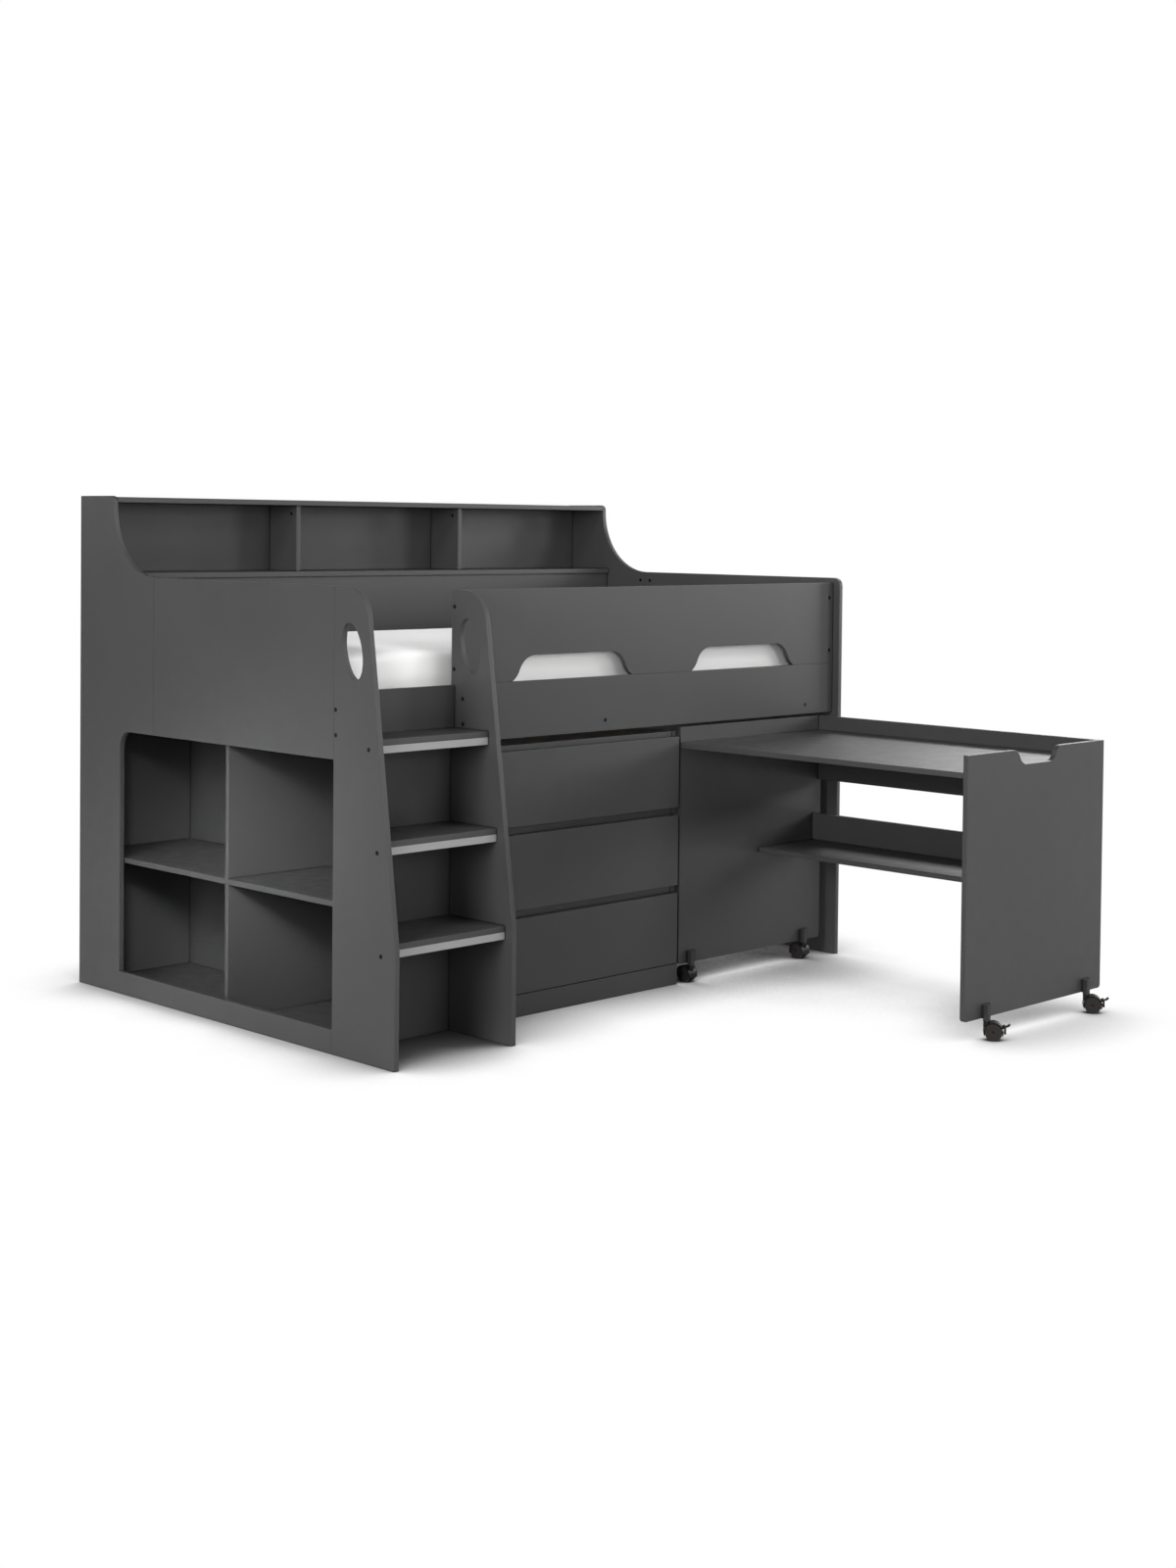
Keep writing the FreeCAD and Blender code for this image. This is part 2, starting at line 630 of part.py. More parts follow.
def mattress():
    """Mattress: rounded corners, sides drawn in between them, soft edges and a low crown."""
    body = doc.addObject("PartDesign::Body", "mattress")
    thickness = "Sizes.mattress_thickness"
    edge = "Sizes.mattress_edge"
    levels = (("0", edge), (edge, "0"), (f"{thickness} - {edge}", "0"), (thickness, edge),
              (f"{thickness} + Sizes.mattress_crown", "Sizes.crown_inset"))
    sections = []
    for number, (level, inset) in enumerate(levels, start=1):
        a = f"(Layout.mattress_a - {inset})"
        b = f"(Layout.mattress_b - {inset})"
        corner = "Sizes.mattress_corner"
        bow = {}
        for side in (a, b):
            half = f"({side} - {corner})"
            bow[side] = f"({half} ^ 2 + Sizes.mattress_waist ^ 2) / (2 * Sizes.mattress_waist)"
        outline = []
        corners = ((a, f"-{b}", True), (a, b, False), (f"-{a}", b, True), (f"-{a}", f"-{b}", False))
        for u, v, along_u in corners:
            sign_u = -1 if u == a else 1
            sign_v = -1 if v == b else 1
            on_u = (f"{u} + {sign_u} * {corner}", v)
            on_v = (u, f"{v} + {sign_v} * {corner}")
            before, after = (on_u, on_v) if along_u else (on_v, on_u)
            outline.append(before + (bow[a if along_u else b], -1))
            outline.append(after + (corner, 1))
        section = profile(body, f"mattress_section_{number}", "XY_Plane", outline)
        section.setExpression("AttachmentOffset.Base.z", level)
        sections.append(section)
    loft = body.newObject("PartDesign::AdditiveLoft", "mattress_loft")
    loft.Profile = sections[0]
    loft.Sections = sections[1:]
    loft.Ruled = True
    place(node(body, "mattress"), "0", "Layout.inner_y + Sizes.mattress_front_gap + Layout.mattress_b",
          "Sizes.slat_top_height + Sizes.soft_gap")


def chest():
    """Carcass of the chest: sides, top and base, plinth, thin back, and the cross rails that close the gaps
    round the drawer fronts."""
    inner_x = "Layout.front_x + Sizes.board"
    sides = []
    for name, x in (("chest_left_side", "Layout.front_x"),
                    ("chest_right_side", "Layout.chest_end - Sizes.board")):
        sides.append(box(name, x, "Layout.chest_y", "0",
                         "Sizes.board", "Sizes.chest_depth", "Layout.chest_height"))
    group("chest_sides", sides)
    top_rail = "(Sizes.board + Sizes.top_reveal + Sizes.rail_lap)"
    cross_rail = "(Sizes.finger_gap + 2 * Sizes.rail_lap)"
    rail_places = [("chest_top_rail", f"Layout.chest_height - {top_rail}", top_rail)]
    for gap in (1, 2):
        foot = f"Layout.front_foot + {gap} * Layout.front_pitch - Sizes.finger_gap - Sizes.rail_lap"
        rail_places.append((f"chest_cross_rail_{gap}", foot, cross_rail))
    rails = []
    for name, foot, height in rail_places:
        rails.append(box(name, inner_x, "Layout.chest_y", foot,
                         "Layout.chest_inner - Sizes.rail_joint", "Sizes.board", height))
    group("chest_rails", rails)
    decks = []
    for name, top, setback in (("chest_top", "Layout.chest_height", "Sizes.board"),
                               ("chest_base", "Sizes.plinth_height", "0")):
        decks.append(box(name, inner_x, f"Layout.chest_y + {setback}", f"{top} - Sizes.board",
                         "Layout.chest_inner", f"Sizes.chest_depth - {setback}", "Sizes.board"))
    group("chest_decks", decks)
    board("chest_plinth", "Layout.front_x", "Layout.face_y + Sizes.plinth_setback", "0",
          "Sizes.chest_width", "Sizes.board + Sizes.front_gap - Sizes.plinth_setback", "Sizes.plinth_height")
    back_y = "Layout.chest_y + Sizes.chest_depth"
    board("chest_back", inner_x, back_y, "Sizes.plinth_height - Sizes.board",
          "Layout.chest_inner", "Sizes.back_board",
          "Layout.chest_height - Sizes.plinth_height + Sizes.board")


def drawers():
    """Three drawers: a front that covers the carcass edges, a box behind it, and a bar on each side
    that slides in a channel on the carcass."""
    left_wall = "Layout.front_x + Sizes.board"
    right_wall = "Layout.chest_end - Sizes.board - Sizes.runner_depth"
    runner_places = (
        ("left", left_wall, left_wall + " + Sizes.runner_web", "Layout.box_x - Layout.runner_bar"),
        ("right", right_wall, right_wall, "Layout.box_x + Layout.box_width"),
    )
    channels = []
    for number in (1, 2, 3):
        foot = f"(Layout.front_foot + {3 - number} * Layout.front_pitch)"
        floor = f"({foot} + Sizes.drawer_lift)"
        name = f"drawer_{number}"
        board(name + "_front", "Layout.front_x + Sizes.front_margin", "Layout.face_y", foot,
              "Sizes.chest_width - 2 * Sizes.front_margin", "Sizes.board", "Layout.front_height")
        far_side = "Layout.box_x + Layout.box_width - Sizes.drawer_side"
        between = "Layout.box_x + Sizes.drawer_side"
        clear_width = "Layout.box_width - 2 * Sizes.drawer_side"
        walls = []
        for side, x in (("left", "Layout.box_x"), ("right", far_side)):
            walls.append(box(f"{name}_{side}", x, "Layout.inner_y", floor,
                             "Sizes.drawer_side", "Sizes.drawer_depth", "Sizes.drawer_wall"))
        clear_depth = "(Sizes.drawer_depth - Sizes.drawer_side)"
        walls.append(box(name + "_back", between, f"Layout.inner_y + {clear_depth}", floor,
                         clear_width, "Sizes.drawer_side", "Sizes.drawer_wall"))
        walls.append(box(name + "_bottom", between, "Layout.inner_y", f"{floor} + Sizes.bottom_lift",
                         clear_width, clear_depth, "Sizes.drawer_bottom"))
        group(name + "_box", walls)
        middle = f"({floor} + Sizes.drawer_wall / 2)"
        bars = []
        for side, channel_x, groove_x, bar_x in runner_places:
            end = f"{name}_{side}"
            bars.append(box(end + "_bar", bar_x, "Layout.chest_y", f"{middle} - Layout.bar_height / 2",
                            "Layout.runner_bar", "Sizes.drawer_depth - Sizes.front_gap",
                            "Layout.bar_height"))
            low = f"{middle} - Sizes.runner_height / 2"
            channel = box(end + "_channel", channel_x, "Layout.chest_y", low,
                          "Sizes.runner_depth", "Sizes.drawer_depth", "Sizes.runner_height")
            groove = box(end + "_groove", groove_x, "Layout.chest_y", f"{low} + Sizes.runner_lip",
                         "Sizes.runner_depth - Sizes.runner_web", "Sizes.drawer_depth",
                         "Layout.groove_height")
            channels.append(cut(end + "_runner", channel, groove))
        group(name + "_runners", bars)
    group("chest_runners", channels)


def desk():
    """Desk on casters: two end panels, top, raised back, and a low shelf with a rail behind it."""
    height = "(Layout.desk_height - Layout.desk_clear)"
    notch_left = "((Layout.desk_width - Sizes.notch_width) / 2)"
    notch_flat = f"({notch_left} + Sizes.notch_width - Sizes.notch_run)"
    notch_right = f"({notch_left} + Sizes.notch_width)"
    feet = ("Sizes.desk_corner", [("0", "0"), ("Layout.desk_width", "0")])
    low_edge = [("0", "0"), ("Layout.desk_width", "0"), ("Layout.desk_width", height)]
    outline = low_edge + [(notch_right, height)]
    outline += ogee(notch_right, height, "-Sizes.notch_run", "-Sizes.notch_depth", 1)
    outline.append((f"{notch_left} + Sizes.notch_run", f"{height} - Sizes.notch_depth"))
    outline += ogee(f"{notch_left} + Sizes.notch_run", f"{height} - Sizes.notch_depth",
                    "-Sizes.notch_run", "Sizes.notch_depth", -1)
    outline.append(("0", height))
    outer = panel("desk_outer_panel", "XZ_Plane", outline, [feet])
    place(outer, "Layout.desk_left", "Layout.outer_y", "Layout.desk_clear")
    inner = panel("desk_inner_panel", "XZ_Plane", low_edge + [("0", height)], [feet])
    place(inner, "Layout.desk_left", "Layout.panel_y", "Layout.desk_clear")
    board("desk_top", "Layout.desk_left", "Layout.desk_inner", "Layout.desk_top_height - Sizes.board",
          "Layout.desk_width - Sizes.board", "Layout.desk_span", "Sizes.board")
    board("desk_back_panel", "Layout.desk_right - Sizes.board", "Layout.desk_inner",
          "Layout.desk_height - Sizes.desk_back", "Sizes.board", "Layout.desk_span", "Sizes.desk_back")
    board("desk_shelf", "Layout.shelf_x", "Layout.desk_inner", "Sizes.desk_shelf_height - Sizes.board",
          "Sizes.desk_shelf_depth", "Layout.desk_span", "Sizes.board")
    board("desk_shelf_rail", "Layout.desk_right - Sizes.shelf_rail_inset - Sizes.board", "Layout.desk_inner",
          "Sizes.desk_shelf_height", "Sizes.board", "Layout.desk_span", "Sizes.shelf_rail_height")


def caster_hood(label, braked):
    """Hood of a twin-wheel caster: a drum with a well for each wheel, so that a web, a thin roof and the
    axle are left, with the stem above. A braked one has two ears that hold the brake's pin, and a slot
    in the roof for its toe."""
    along = FreeCAD.Vector(0, 1, 0)
    up = FreeCAD.Vector(0, 0, 1)
    drum = rod(label + "_drum", "Layout.hood_radius", "2 * Layout.wheel_out",
               "Sizes.trail", "-Layout.wheel_out", "Sizes.wheel_radius", along)
    housing = rod(label + "_housing", "Sizes.housing_radius", "Sizes.housing_height",
                  "0", "0", "Layout.hood_top - Sizes.housing_height", up)
    width = "2 * Layout.wheel_out"
    size = "(2 * Layout.hood_radius)"
    below = box(label + "_below", "Sizes.trail - Layout.hood_radius", f"-{width} / 2", "-Layout.hood_radius",
                size, width, "Layout.hood_radius + Sizes.wheel_radius - Sizes.hood_drop")
    block = cut(label + "_block", join(label + "_lump", [drum, housing]), below)
    wells = []
    for side, start in (("left", "Layout.half_web"), ("right", f"-Layout.half_web - {width}")):
        wells.append(rod(f"{label}_{side}_well", "Layout.hood_radius - Sizes.hood_wall", width,
                         "Sizes.trail", start, "Sizes.wheel_radius", along))
    if braked:
        slot_width = "(Sizes.tab_width + 2 * Sizes.toe_play)"
        slot_x = "Sizes.trail + Sizes.wheel_radius - Sizes.toe_slot"
        wells.append(box(label + "_slot", slot_x, f"-{slot_width} / 2", "0",
                         "Layout.hood_radius", slot_width, "Layout.pivot_z - Sizes.ear_height"))
    pieces = [cut(label + "_shell", block, join(label + "_wells", wells))]
    pieces.append(rod(label + "_axle", "Sizes.axle_radius", width,
                      "Sizes.trail", "-Layout.wheel_out", "Sizes.wheel_radius", along))
    stem_foot = "Layout.hood_top - Sizes.hood_wall"
    pieces.append(rod(label + "_stem", "Sizes.stem_radius", f"Layout.stem_top - ({stem_foot})",
                      "0", "0", stem_foot, up))
    if braked:
        pin_length = "2 * (Layout.ear_in + Sizes.ear_width)"
        pieces.append(rod(label + "_pin", "Sizes.brake_pin", pin_length, "Layout.pivot_u",
                          "-Layout.ear_in - Sizes.ear_width", "Layout.pivot_z", along))
        angle = "Sizes.brake_angle"
        root = "(Layout.hood_radius - Sizes.hood_wall / 2)"
        half = "(Sizes.ear_height / 2)"
        ear_x = f"Sizes.trail + {root} * cos({angle}) + {half} * sin({angle})"
        ear_z = f"Sizes.wheel_radius + {root} * sin({angle}) - {half} * cos({angle})"
        for side, ear_y in (("left", "Layout.ear_in"), ("right", "-Layout.ear_in - Sizes.ear_width")):
            ear = box(f"{label}_{side}_ear", ear_x, ear_y, ear_z,
                      f"Layout.pivot_radius - {root} + {half}", "Sizes.ear_width", "Sizes.ear_height")
            ear.Placement.Rotation = FreeCAD.Rotation(along, 0)
            ear.setExpression("Placement.Rotation.Angle", f"-{angle}")
            pieces.append(ear)
    return node(join(label, pieces), label)


def caster_wheels(label):
    """Twin wheels on one axle, each a plain disc with a flat tread."""
    body = doc.addObject("PartDesign::Body", label + "_wheel")
    bore = "(Sizes.axle_radius + Sizes.running_gap)"
    rim = "Sizes.wheel_radius"
    outline = [
        (bore, "Layout.wheel_in"),
        (rim, "Layout.wheel_in"),
        (rim, "Layout.wheel_out"),
        (bore, "Layout.wheel_out"),
    ]
    turned = body.newObject("PartDesign::Revolution", label + "_turned")
    sketch = profile(body, label + "_section", "XY_Plane", outline)
    turned.Profile = sketch
    turned.ReferenceAxis = (sketch, ["V_Axis"])
    turned.Angle = 360
    twin = doc.addObject("Part::Mirroring", label + "_twin")
    twin.Source = body
    twin.Normal = FreeCAD.Vector(0, 1, 0)
    return group(label, [body, twin])


def horn(label, start, width):
    """A strip that curves up and away from the brake's pin, between two angles of one arc."""
    body = doc.addObject("PartDesign::Body", label)
    inner = "(Sizes.horn_radius - Sizes.horn_thickness / 2)"
    ends = []
    for radius, angle in ((inner, start), ("Layout.horn_outer", start),
                          ("Layout.horn_outer", "Sizes.horn_sweep"), (inner, "Sizes.horn_sweep")):
        ends.append((f"Sizes.horn_start + {radius} * sin({angle})",
                     f"Sizes.horn_radius - {radius} * cos({angle})"))
    outline = [ends[1], ends[2] + ("Layout.horn_outer", 1), ends[3], ends[0] + (inner, -1)]
    pad = body.newObject("PartDesign::Pad", label + "_pad")
    pad.Profile = profile(body, label + "_outline", "XZ_Plane", outline)
    pad.Midplane = True
    pad.setExpression("Length", width)
    return body


def brake_lever(label):
    """Brake lever: a barrel that turns on the hood's pin, a horn that widens to a tab for the foot, and
    a toe that swings in to the treads through the hood's slot."""
    along = FreeCAD.Vector(0, 1, 0)
    half = "Sizes.barrel_width / 2"
    pieces = [
        rod(label + "_barrel", "Sizes.barrel_radius", "Sizes.barrel_width", "0", f"-{half}", "0", along),
        box(label + "_neck", "0", f"-{half}", "-Sizes.horn_thickness / 2",
            "Sizes.horn_start", "Sizes.barrel_width", "Sizes.horn_thickness"),
        horn(label + "_horn", "0", "Sizes.barrel_width"),
        horn(label + "_tab", "Sizes.tab_sweep", "Sizes.tab_width"),
        box(label + "_arm", "0", f"-{half}", "-Sizes.toe_reach",
            "Sizes.toe_thickness", "Sizes.barrel_width", "Sizes.toe_reach"),
        box(label + "_toe", "0", "-Sizes.tab_width / 2", "-Sizes.toe_reach",
            "Sizes.toe_thickness", "Sizes.tab_width", "Sizes.toe_height"),
    ]
    bore = rod(label + "_bore", "Sizes.brake_pin + Sizes.running_gap", "2 * Sizes.barrel_width",
               "0", "-Sizes.barrel_width", "0", along)
    return node(cut(label, join(label + "_plate", pieces), bore), label)


def bracket(label, x, face):
    """Bracket on a panel's face: a plate, and a square boss that the stem turns in."""
    up = FreeCAD.Vector(0, 0, 1)
    low = "Layout.hood_top + 6 * Sizes.running_gap"
    stem_y = f"{face} - Sizes.stem_offset"
    tall = f"Layout.stem_top - ({low})"
    plate = box(label + "_plate", f"{x} - Sizes.bracket_side", f"{face} - Sizes.bracket_plate",
                "Layout.desk_clear", "Sizes.bracket_width", "Sizes.bracket_plate", "Sizes.bracket_height")
    web = box(label + "_web", f"{x} - Sizes.boss_web / 2", stem_y, "Layout.desk_clear",
              "Sizes.boss_web", "Sizes.stem_offset", "Sizes.bracket_height")
    boss = box(label + "_boss", f"{x} - Sizes.boss_width / 2", f"{stem_y} - Sizes.boss_width / 2", low,
               "Sizes.boss_width", "Sizes.boss_width", tall)
    bore = rod(label + "_bore", "Sizes.stem_radius + Sizes.running_gap", f"2 * ({tall})",
               x, stem_y, f"{low} - ({tall}) / 2", up)
    return cut(label, join(label + "_body", [plate, web, boss]), bore)


def casters():
    """Four twin-wheel casters on brackets, the two at the outer panel with brakes."""
    left = "(Layout.desk_left + Sizes.caster_inset)"
    right = "(Layout.desk_right - Sizes.caster_inset)"
    inner_left = "(Layout.desk_left + Sizes.inner_left_inset)"
    brackets = []
    places = (
        ("outer_left", left, "Layout.outer_y", "Sizes.outer_turn", True),
        ("outer_right", right, "Layout.outer_y", "Sizes.outer_turn", True),
        ("inner_left", inner_left, "Layout.panel_y", "Sizes.inner_turn", False),
        ("inner_right", right, "Layout.panel_y", "Sizes.inner_turn", False),
    )
    for name, x, face, turn, braked in places:
        stem_y = f"({face} - Sizes.stem_offset)"
        brackets.append(bracket(name + "_bracket", x, face))
        pieces = [
            (caster_hood(name + "_caster_hood", braked), "0", "0"),
            (caster_wheels(name + "_caster_wheels"), "Sizes.trail", "Sizes.wheel_radius"),
        ]
        if braked:
            pieces.append((brake_lever(name + "_brake_lever"), "Layout.pivot_u", "Layout.pivot_z"))
        for piece, u, z in pieces:
            piece.Placement.Rotation = FreeCAD.Rotation(FreeCAD.Vector(0, 0, 1), 0)
            place(piece, f"{x} + {u} * cos({turn})", f"{stem_y} + {u} * sin({turn})", z)
            piece.setExpression("Placement.Rotation.Angle", turn)
    group("caster_brackets", brackets)


def export():
    """Checks every object and every sub-part's solids, then writes one file for each sub-part."""
    doc.recompute()
    failed = [item.Label for item in doc.Objects if "Invalid" in item.State or "Error" in item.State]
    for item in nodes:
        if item.Shape.isNull() or not item.Shape.isValid() or not item.Shape.Solids:
            failed.append(item.Label)
    if failed:
        raise RuntimeError("failed: " + ", ".join(failed))
    os.makedirs("parts", exist_ok=True)
    for item in nodes:
        item.Shape.exportStep(f"parts/{item.Label}.step")


left_end()
right_end()
ladder()
front()
bookcase()
cubbies()
bed_base()
mattress()
chest()
drawers()
desk()
casters()
export()
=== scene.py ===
import math

import bmesh
import bpy
import numpy as np
from mathutils import Matrix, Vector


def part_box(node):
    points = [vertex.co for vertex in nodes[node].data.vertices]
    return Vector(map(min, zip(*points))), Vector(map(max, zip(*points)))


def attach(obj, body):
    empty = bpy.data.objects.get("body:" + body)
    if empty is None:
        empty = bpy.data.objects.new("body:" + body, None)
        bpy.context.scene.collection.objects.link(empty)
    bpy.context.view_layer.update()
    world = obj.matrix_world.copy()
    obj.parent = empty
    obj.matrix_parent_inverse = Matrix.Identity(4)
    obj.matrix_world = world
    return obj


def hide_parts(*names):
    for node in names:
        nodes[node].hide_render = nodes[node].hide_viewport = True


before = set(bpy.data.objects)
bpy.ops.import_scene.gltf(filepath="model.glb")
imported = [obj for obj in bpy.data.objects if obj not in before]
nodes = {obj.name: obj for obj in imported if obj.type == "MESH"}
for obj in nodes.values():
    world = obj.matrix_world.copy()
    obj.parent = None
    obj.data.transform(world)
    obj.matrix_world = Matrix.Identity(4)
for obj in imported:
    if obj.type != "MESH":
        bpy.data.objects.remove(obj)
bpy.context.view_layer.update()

# Ends of the bed: two upright boards side by side at each end, of 15 mm fibreboard with a sprayed
# anthracite lacquer. They are sawn to shape, eased along every edge and bolted to what lies between.

END_BOARDS = ("left_end_panel", "left_infill_panel", "right_rear_panel", "right_front_panel")
ANTHRACITE = (0.042, 0.042, 0.0425, 1.0)
EASED_EDGE = 0.0012          # rounding of a board's edges
SEAM_SHADE_REACH = 0.004           # how far the painted seam shade darkens the film on both sides of a joint
SEAM_SHADE_DARK, SEAM_SHADE_CLEAR = 0.5, 0.95            # open share of the view where the painted shade makes the film black, and where it leaves it clear
CLOUDS, DULL_PATCHES, SPECKS = 2.6, 24.0, 620.0   # features of the film to the metre
WIDE_PEEL, FINE_PEEL = 112.0, 380.0          # dimples of the orange peel to the metre
WIDE_PEEL_SHARE = 0.6
PEEL_STRENGTH = 0.5
CURVE_ANGLE = math.radians(32)               # faces that meet at less than this are one curve
FLAT_ANGLE = math.radians(0.4)               # and at less than this, one flat face
SAME_POINT = 1e-5


def place_node(tree, kind, inputs=None, **settings):
    """Adds a node with its settings. Each input is linked if it is given a socket, and else set."""
    node = tree.nodes.new(kind)
    for name, setting in settings.items():
        setattr(node, name, setting)
    for key, given in (inputs or {}).items():
        if isinstance(given, bpy.types.NodeSocket):
            tree.links.new(given, node.inputs[key])
        else:
            node.inputs[key].default_value = given
    return node


def effect(name, inputs, outputs):
    """An empty shader group with named sockets, and its input and output nodes."""
    tree = bpy.data.node_groups.new(name, "ShaderNodeTree")
    kinds = {"colour": "NodeSocketColor", "value": "NodeSocketFloat"}
    for way, sockets in (("INPUT", inputs), ("OUTPUT", outputs)):
        for label, kind in sockets.items():
            tree.interface.new_socket(label, in_out=way, socket_type=kinds[kind])
    return tree, tree.nodes.new("NodeGroupInput"), tree.nodes.new("NodeGroupOutput")


def noise(tree, place, scale, detail=2.0):
    """Noise of that many features to the metre, as one value from 0 to 1."""
    texture = place_node(tree, "ShaderNodeTexNoise", {"Vector": place, "Scale": scale, "Detail": detail})
    return texture.outputs[0]


def span(tree, value, low, high, start=0.25, end=0.75):
    """Carries a value's range from start to end over to the range from low to high."""
    ranges = {"Value": value, "From Min": start, "From Max": end, "To Min": low, "To Max": high}
    return place_node(tree, "ShaderNodeMapRange", ranges).outputs[0]


def times(tree, first, second):
    """The product of two values."""
    return place_node(tree, "ShaderNodeMath", {0: first, 1: second}, operation="MULTIPLY").outputs[0]


def plus(tree, first, second):
    """The sum of two values."""
    return place_node(tree, "ShaderNodeMath", {0: first, 1: second}, operation="ADD").outputs[0]


def tinted(tree, colour, strength):
    """A colour, as a socket or as numbers, times a value."""
    base = colour if isinstance(colour, bpy.types.NodeSocket) else colour[:3]
    scaled = place_node(tree, "ShaderNodeVectorMath", {0: base, "Scale": strength}, operation="SCALE")
    return scaled.outputs[0]


def sprayed_film():
    """Shader group for a sprayed film. Its colour is drawn through a wide cloud and a fine speck, and it
    has painted shade in joints and narrow gaps, darkest where nearby faces close in most. Its roughness is
    drawn through a middle cloud, and its height is the orange peel that a spray gun leaves."""
    settings = {"Colour": "colour", "Cloud": "value", "Speck": "value", "Dull": "value"}
    results = {"Colour": "colour", "Roughness": "value", "Height": "value"}
    tree, given, made = effect("sprayed_film", settings, results)
    place = place_node(tree, "ShaderNodeTexCoord").outputs["Object"]
    cloud = times(tree, span(tree, noise(tree, place, CLOUDS), -1.0, 1.0), given.outputs["Cloud"])
    speck = times(tree, span(tree, noise(tree, place, SPECKS, 1.0), -1.0, 1.0), given.outputs["Speck"])
    # painted shade: the colour darkens where nearby faces close in, in joints and narrow gaps
    seam_occlusion = place_node(tree, "ShaderNodeAmbientOcclusion", {"Distance": SEAM_SHADE_REACH}, samples=4)
    painted_seam_shade = span(tree, seam_occlusion.outputs["AO"], 0.0, 1.0, SEAM_SHADE_DARK, SEAM_SHADE_CLEAR)
    strength = times(tree, plus(tree, 1.0, plus(tree, cloud, speck)), painted_seam_shade)
    tree.links.new(tinted(tree, given.outputs["Colour"], strength), made.inputs["Colour"])
    dull = plus(tree, given.outputs["Dull"], span(tree, noise(tree, place, DULL_PATCHES), -0.05, 0.05))
    tree.links.new(dull, made.inputs["Roughness"])
    wide_peel = times(tree, noise(tree, place, WIDE_PEEL), WIDE_PEEL_SHARE)
    peel = plus(tree, noise(tree, place, FINE_PEEL, 1.0), wide_peel)
    tree.links.new(peel, made.inputs["Height"])
    return tree


def film_finish(name, film, colour, cloud, speck, dull, peel, shine=0.5):
    """A material of one film group: its colour and roughness, and its height as a bump as deep as peel."""
    material = bpy.data.materials.new(name)
    material.use_nodes = True
    tree = material.node_tree
    skin = tree.nodes["Principled BSDF"]
    coat = place_node(tree, "ShaderNodeGroup",
                      {"Colour": colour, "Cloud": cloud, "Speck": speck, "Dull": dull}, node_tree=film)
    bump = place_node(tree, "ShaderNodeBump",
                      {"Height": coat.outputs["Height"], "Strength": PEEL_STRENGTH, "Distance": peel})
    tree.links.new(coat.outputs["Colour"], skin.inputs["Base Color"])
    tree.links.new(coat.outputs["Roughness"], skin.inputs["Roughness"])
    tree.links.new(bump.outputs[0], skin.inputs["Normal"])
    skin.inputs["Specular IOR Level"].default_value = shine
    return material


def curve_shading():
    """Modifier group that shades faces as one curve unless they meet at more than the curve angle."""
    tree = bpy.data.node_groups.new("curve_shading", "GeometryNodeTree")
    for way in ("INPUT", "OUTPUT"):
        tree.interface.new_socket("Geometry", in_out=way, socket_type="NodeSocketGeometry")
    given = tree.nodes.new("NodeGroupInput")
    made = tree.nodes.new("NodeGroupOutput")
    angle = tree.nodes.new("GeometryNodeInputMeshEdgeAngle").outputs[0]
    sharp = place_node(tree, "FunctionNodeCompare", {0: angle, 1: CURVE_ANGLE},
                       operation="GREATER_THAN").outputs[0]
    shaded = place_node(tree, "GeometryNodeSetMeshNormal",
                        {"Mesh": given.outputs[0], "Remove Custom": True, "Edge Sharpness": sharp,
                         "Face Sharpness": False})
    tree.links.new(shaded.outputs[0], made.inputs[0])
    return tree


def finish_node(name, material, easing):
    """Gives a node its material, merges its loose triangles to flat faces and rounds its edges."""
    piece = nodes[name]
    piece.material_slots[0].material = material
    piece.modifiers.new("merged", "WELD").merge_threshold = SAME_POINT
    flat = piece.modifiers.new("flat_faces", "DECIMATE")
    flat.decimate_type = "DISSOLVE"
    flat.angle_limit = FLAT_ANGLE
    eased = piece.modifiers.new("eased_edges", "BEVEL")
    eased.width = easing
    eased.segments = 2
    eased.limit_method = "ANGLE"
    eased.angle_limit = CURVE_ANGLE
    piece.modifiers.new("shading", "NODES").node_group = shading
    piece.modifiers.new("flat_light", "WEIGHTED_NORMAL").keep_sharp = True


sprayed = sprayed_film()
shading = curve_shading()
lacquer = film_finish("anthracite_lacquer", sprayed, ANTHRACITE, cloud=0.05, speck=0.03, dull=0.44,
                      peel=0.00008, shine=0.32)
for name in END_BOARDS:
    finish_node(name, lacquer, EASED_EDGE)

# Ladder: two shaped side boards with an oval hand hole, a short rail, three treads and the wall behind
# them, all of the same lacquered board. A light-grey foiled batten is screwed under each tread's edge.

LADDER_BOARDS = ("left_ladder_stile", "right_ladder_stile", "ladder_treads", "ladder_rail",
                 "ladder_back_panel")
BATTEN_GREY = (0.24, 0.24, 0.24, 1.0)
FOIL_EDGE = 0.0008           # rounding where foil is wrapped round a board

for name in LADDER_BOARDS:
    finish_node(name, lacquer, EASED_EDGE)
foil = film_finish("light_grey_foil", sprayed, BATTEN_GREY, cloud=0.02, speck=0.03, dull=0.36,
                   peel=0.00006)
finish_node("tread_battens", foil, FOIL_EDGE)

# Front rail and guard: two long boards one above the other, the guard with two hand slots cut from its
# lower edge. They are lacquered as the rest and dowelled to the ladder's side board and the right end.

for name in ("front_rail", "front_guard"):
    finish_node(name, lacquer, EASED_EDGE)

# Bookcase along the back, with the panel below its shelf and the brace near the floor. The shelf and
# the top are let in between the ends, and two upright dividers stand between them.

BOOKCASE_BOARDS = ("bookcase_top", "bookcase_shelf", "bookcase_back", "bookcase_dividers",
                   "rear_bed_panel", "rear_brace")

for name in BOOKCASE_BOARDS:
    finish_node(name, lacquer, EASED_EDGE)

# Cubbyholes in the left end: base, shelf, top, rear side and two half dividers, with a back in two
# boards. They are butt-jointed and open to the left, behind the opening of the end board.

CUBBY_BOARDS = ("cubby_base", "cubby_shelf", "cubby_top", "cubby_rear_side", "cubby_dividers",
                "cubby_back_rail", "cubby_back")

